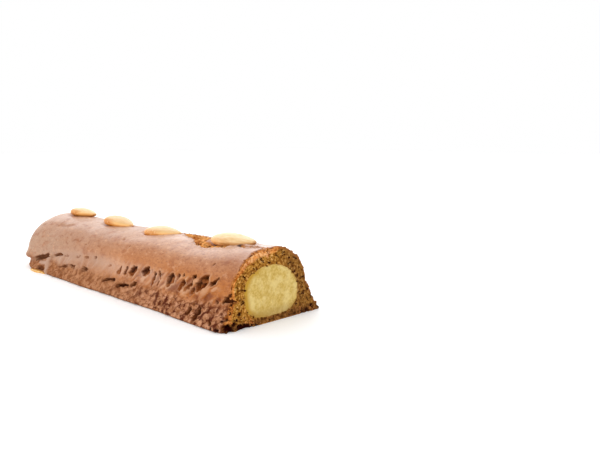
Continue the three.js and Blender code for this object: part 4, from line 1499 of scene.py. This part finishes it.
feed(shader, Base_Color=almond_colour, Roughness=0.42 + 0.2 * (fleck - 0.5), Normal=grooves)
print("almond finish mixed")

# %% Make the four almonds
GROOVE_DEPTH = 0.07  # as a share of the almond's width
SEED_STEP = 3.7

for number, almond in enumerate(ALMONDS, 1):
    sizes = {
        "Length": ALMOND_LENGTH * almond.size,
        "Width": ALMOND_WIDTH * almond.size,
        "Thickness": ALMOND_THICKNESS * almond.size,
        "Taper": ALMOND_TAPER,
        "Groove depth": GROOVE_DEPTH,
        "Toast": almond.toast,
        "Seed": SEED_STEP * (number - 1) + 1,
    }
    piece = grown(f"blanched_almond_{number}", bpy.data.meshes.new("blank"), almond_tree, sizes)
    piece.data.transform(Matrix.Scale(MM, 4) @ almond.matrix @ Matrix.Scale(1 / MM, 4))
    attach(piece, "root")
    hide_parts(f"almond_{number}")
    print(piece.name, "faces:", len(piece.data.polygons))

# %% [markdown]
# ## Crumbs that cling
#
# Cutting a dry bar frays it: crumbs hang on to the edge of the cut, its torn corner and the crack. Placing
# them by hand would take long. They repeat, so Geometry Nodes scatter them over the crust where the mask
# "clinging" says. Each is a small ball of a few dozen faces, turned and stretched at random and then dented
# by noise. The random nodes have fixed seeds, so every run gives the same crumbs.

# %% The crumb tree
CLING_SIZES = {"Crumbs per square mm": 1.2, "Smallest radius": 0.25, "Largest radius": 0.7, "Dents": 0.8}
LARGEST_TURN = (6.3, 6.3, 6.3)  # radians, a full turn


def random_vector(bench, low, high, seed):
    sockets = {0: low, 1: high, "Seed": seed}
    return bench.node("FunctionNodeRandomValue", {"data_type": "FLOAT_VECTOR"}, sockets)


cling_tree, geometry, size = new_tree("clinging crumbs", CLING_SIZES)
(clinging,) = masks_of(geometry, "clinging")
density = clinging * size["Crumbs per square mm"] / MM**2
spread = {"Mesh": geometry, "Density": density, "Seed": 4}
dots = geometry.node("GeometryNodeDistributePointsOnFaces", None, spread)
ball = geometry.node("GeometryNodeMeshUVSphere", None, {"Segments": 6, "Rings": 5, "Radius": MM})
turned = random_vector(geometry, (0, 0, 0), LARGEST_TURN, 1)
stretch = random_vector(geometry, (0.7, 0.7, 0.5), (1.3, 1.1, 0.9), 2)
limits = {2: size["Smallest radius"], 3: size["Largest radius"], "Seed": 3}
radius = geometry.node("FunctionNodeRandomValue", None, limits, out=1)
sockets = {"Points": dots, "Instance": ball, "Rotation": turned, "Scale": stretch.vector("SCALE", radius)}
scattered = geometry.node("GeometryNodeInstanceOnPoints", None, sockets)
loose = scattered.node("GeometryNodeRealizeInstances", None, {"Geometry": scattered})
dent = (noise(geometry.node("GeometryNodeInputPosition"), 0.9, 2, 0.6, 31) - 0.5) * size["Dents"]
crumb_finish, shader, spot = new_finish("loose crumb")
close_tree(raised(loose, dent), crumb_finish)
print("inputs of the crumb tree:", list(CLING_SIZES))

# %% Scatter the crumbs
shade = noise(spot, 1.6, 2, 0.6, 32)
loose_colour = layered(
    blend(shade.ease(0.35, 0.6), tint(140, 70, 18), tint(218, 142, 66)),
    (noise(spot, 0.6, 2, 0.6, 33).ease(0.55, 0.7) * 0.6, tint(240, 188, 126)),
    ((spot.axis(1) / MM).ease(0, 8) * 0.7, tint(140, 88, 42)),  # painted shade on the far half
)
feed(shader, Base_Color=loose_colour, Roughness=0.75 + 0.3 * (shade - 0.5), Normal=bumped(shade, 0.2, 0.5))
feed(shader, Specular_IOR_Level=0.2)
crumbs = grown("clinging_crumbs", crust.data, cling_tree, CLING_SIZES)
set_on_table(crumbs)
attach(crumbs, "root")
print("crumbs:", len(crumbs.data.polygons), "faces")

# %% [markdown]
# ## The pool of egg wash
#
# Some of the wash ran down the rounded end and baked to a golden edge on the tray. A fluid simulation would
# be a long way round to such a small thing. It is a thin lens that follows the foot's outline: a flat ring
# of points in each section, wide in the middle of its run and fading at both ends.

# %% Pool
POOL_REACH = (172.0, 197.0)  # along the bar
POOL_WIDTH = 2.6
POOL_HEIGHT = 1.0
POOL_END_WIDTH = 0.3
POOL_END_HEIGHT = 0.15
POOL_UNDER = 1.2  # it starts this far under the foot
POOL_POINTS = 16
FOOT_EDGE_COLUMN = 2  # the skin's column along the foot's lower edge

run = np.where((along[:, 0] > POOL_REACH[0]) & (along[:, 0] < POOL_REACH[1]))[0]
foot_edge = skin[run, FOOT_EDGE_COLUMN]
ahead = np.gradient(foot_edge[:, :2], axis=0)
aside = np.stack([-ahead[:, 1], ahead[:, 0]], axis=1) / np.linalg.norm(ahead, axis=1)[:, None]
share = np.linspace(0, 1, len(run))
wide = POOL_WIDTH * np.sin(np.pi * share) ** 0.8 * (0.85 + 0.25 * ripple(share * 5, 0.5, 81))
wide = POOL_END_WIDTH + wide
tall = POOL_END_HEIGHT + POOL_HEIGHT * np.sin(np.pi * share)
turn = np.linspace(0, 2 * np.pi, POOL_POINTS, endpoint=False)
reach_out = mixed(-POOL_UNDER, wide[:, None], 0.5 + 0.5 * np.cos(turn))
rows_of_pool = np.zeros((len(run), POOL_POINTS, 3))
rows_of_pool[:, :, :2] = foot_edge[:, None, :2] + reach_out[:, :, None] * aside[:, None]
rows_of_pool[:, :, 2] = tall[:, None] * np.maximum(0, np.sin(turn)) ** 0.8
first_middle, last_middle = (rows_of_pool[i].mean(axis=0) for i in (0, -1))
pool_mesh = piece_mesh("egg_wash_pool", *bridged(rows_of_pool, first_middle, last_middle), {})
print("pool:", len(run), "sections,", round(float(wide.max()), 1), "mm wide")

# %% Pool finish
pool_finish, shader, spot = new_finish("baked egg wash")
streaky = noise(spot, 2.2, 3, 0.6, 35)
pool_colour = layered(
    blend(streaky.ease(0.35, 0.65), tint(222, 150, 44), tint(246, 196, 96)),
    ((spot.axis(2) / MM).ease(0.6, 1.2) * 0.5, tint(160, 88, 26)),  # browner where it is thick
)
feed(shader, Base_Color=pool_colour, Roughness=0.25 + 0.2 * (streaky - 0.5), Normal=bumped(streaky, 0.2, 0.4))
pool_mesh.materials.append(pool_finish)
pool = placed("egg_wash_pool", pool_mesh)
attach(pool, "root")
print("pool:", len(pool_mesh.polygons), "faces")
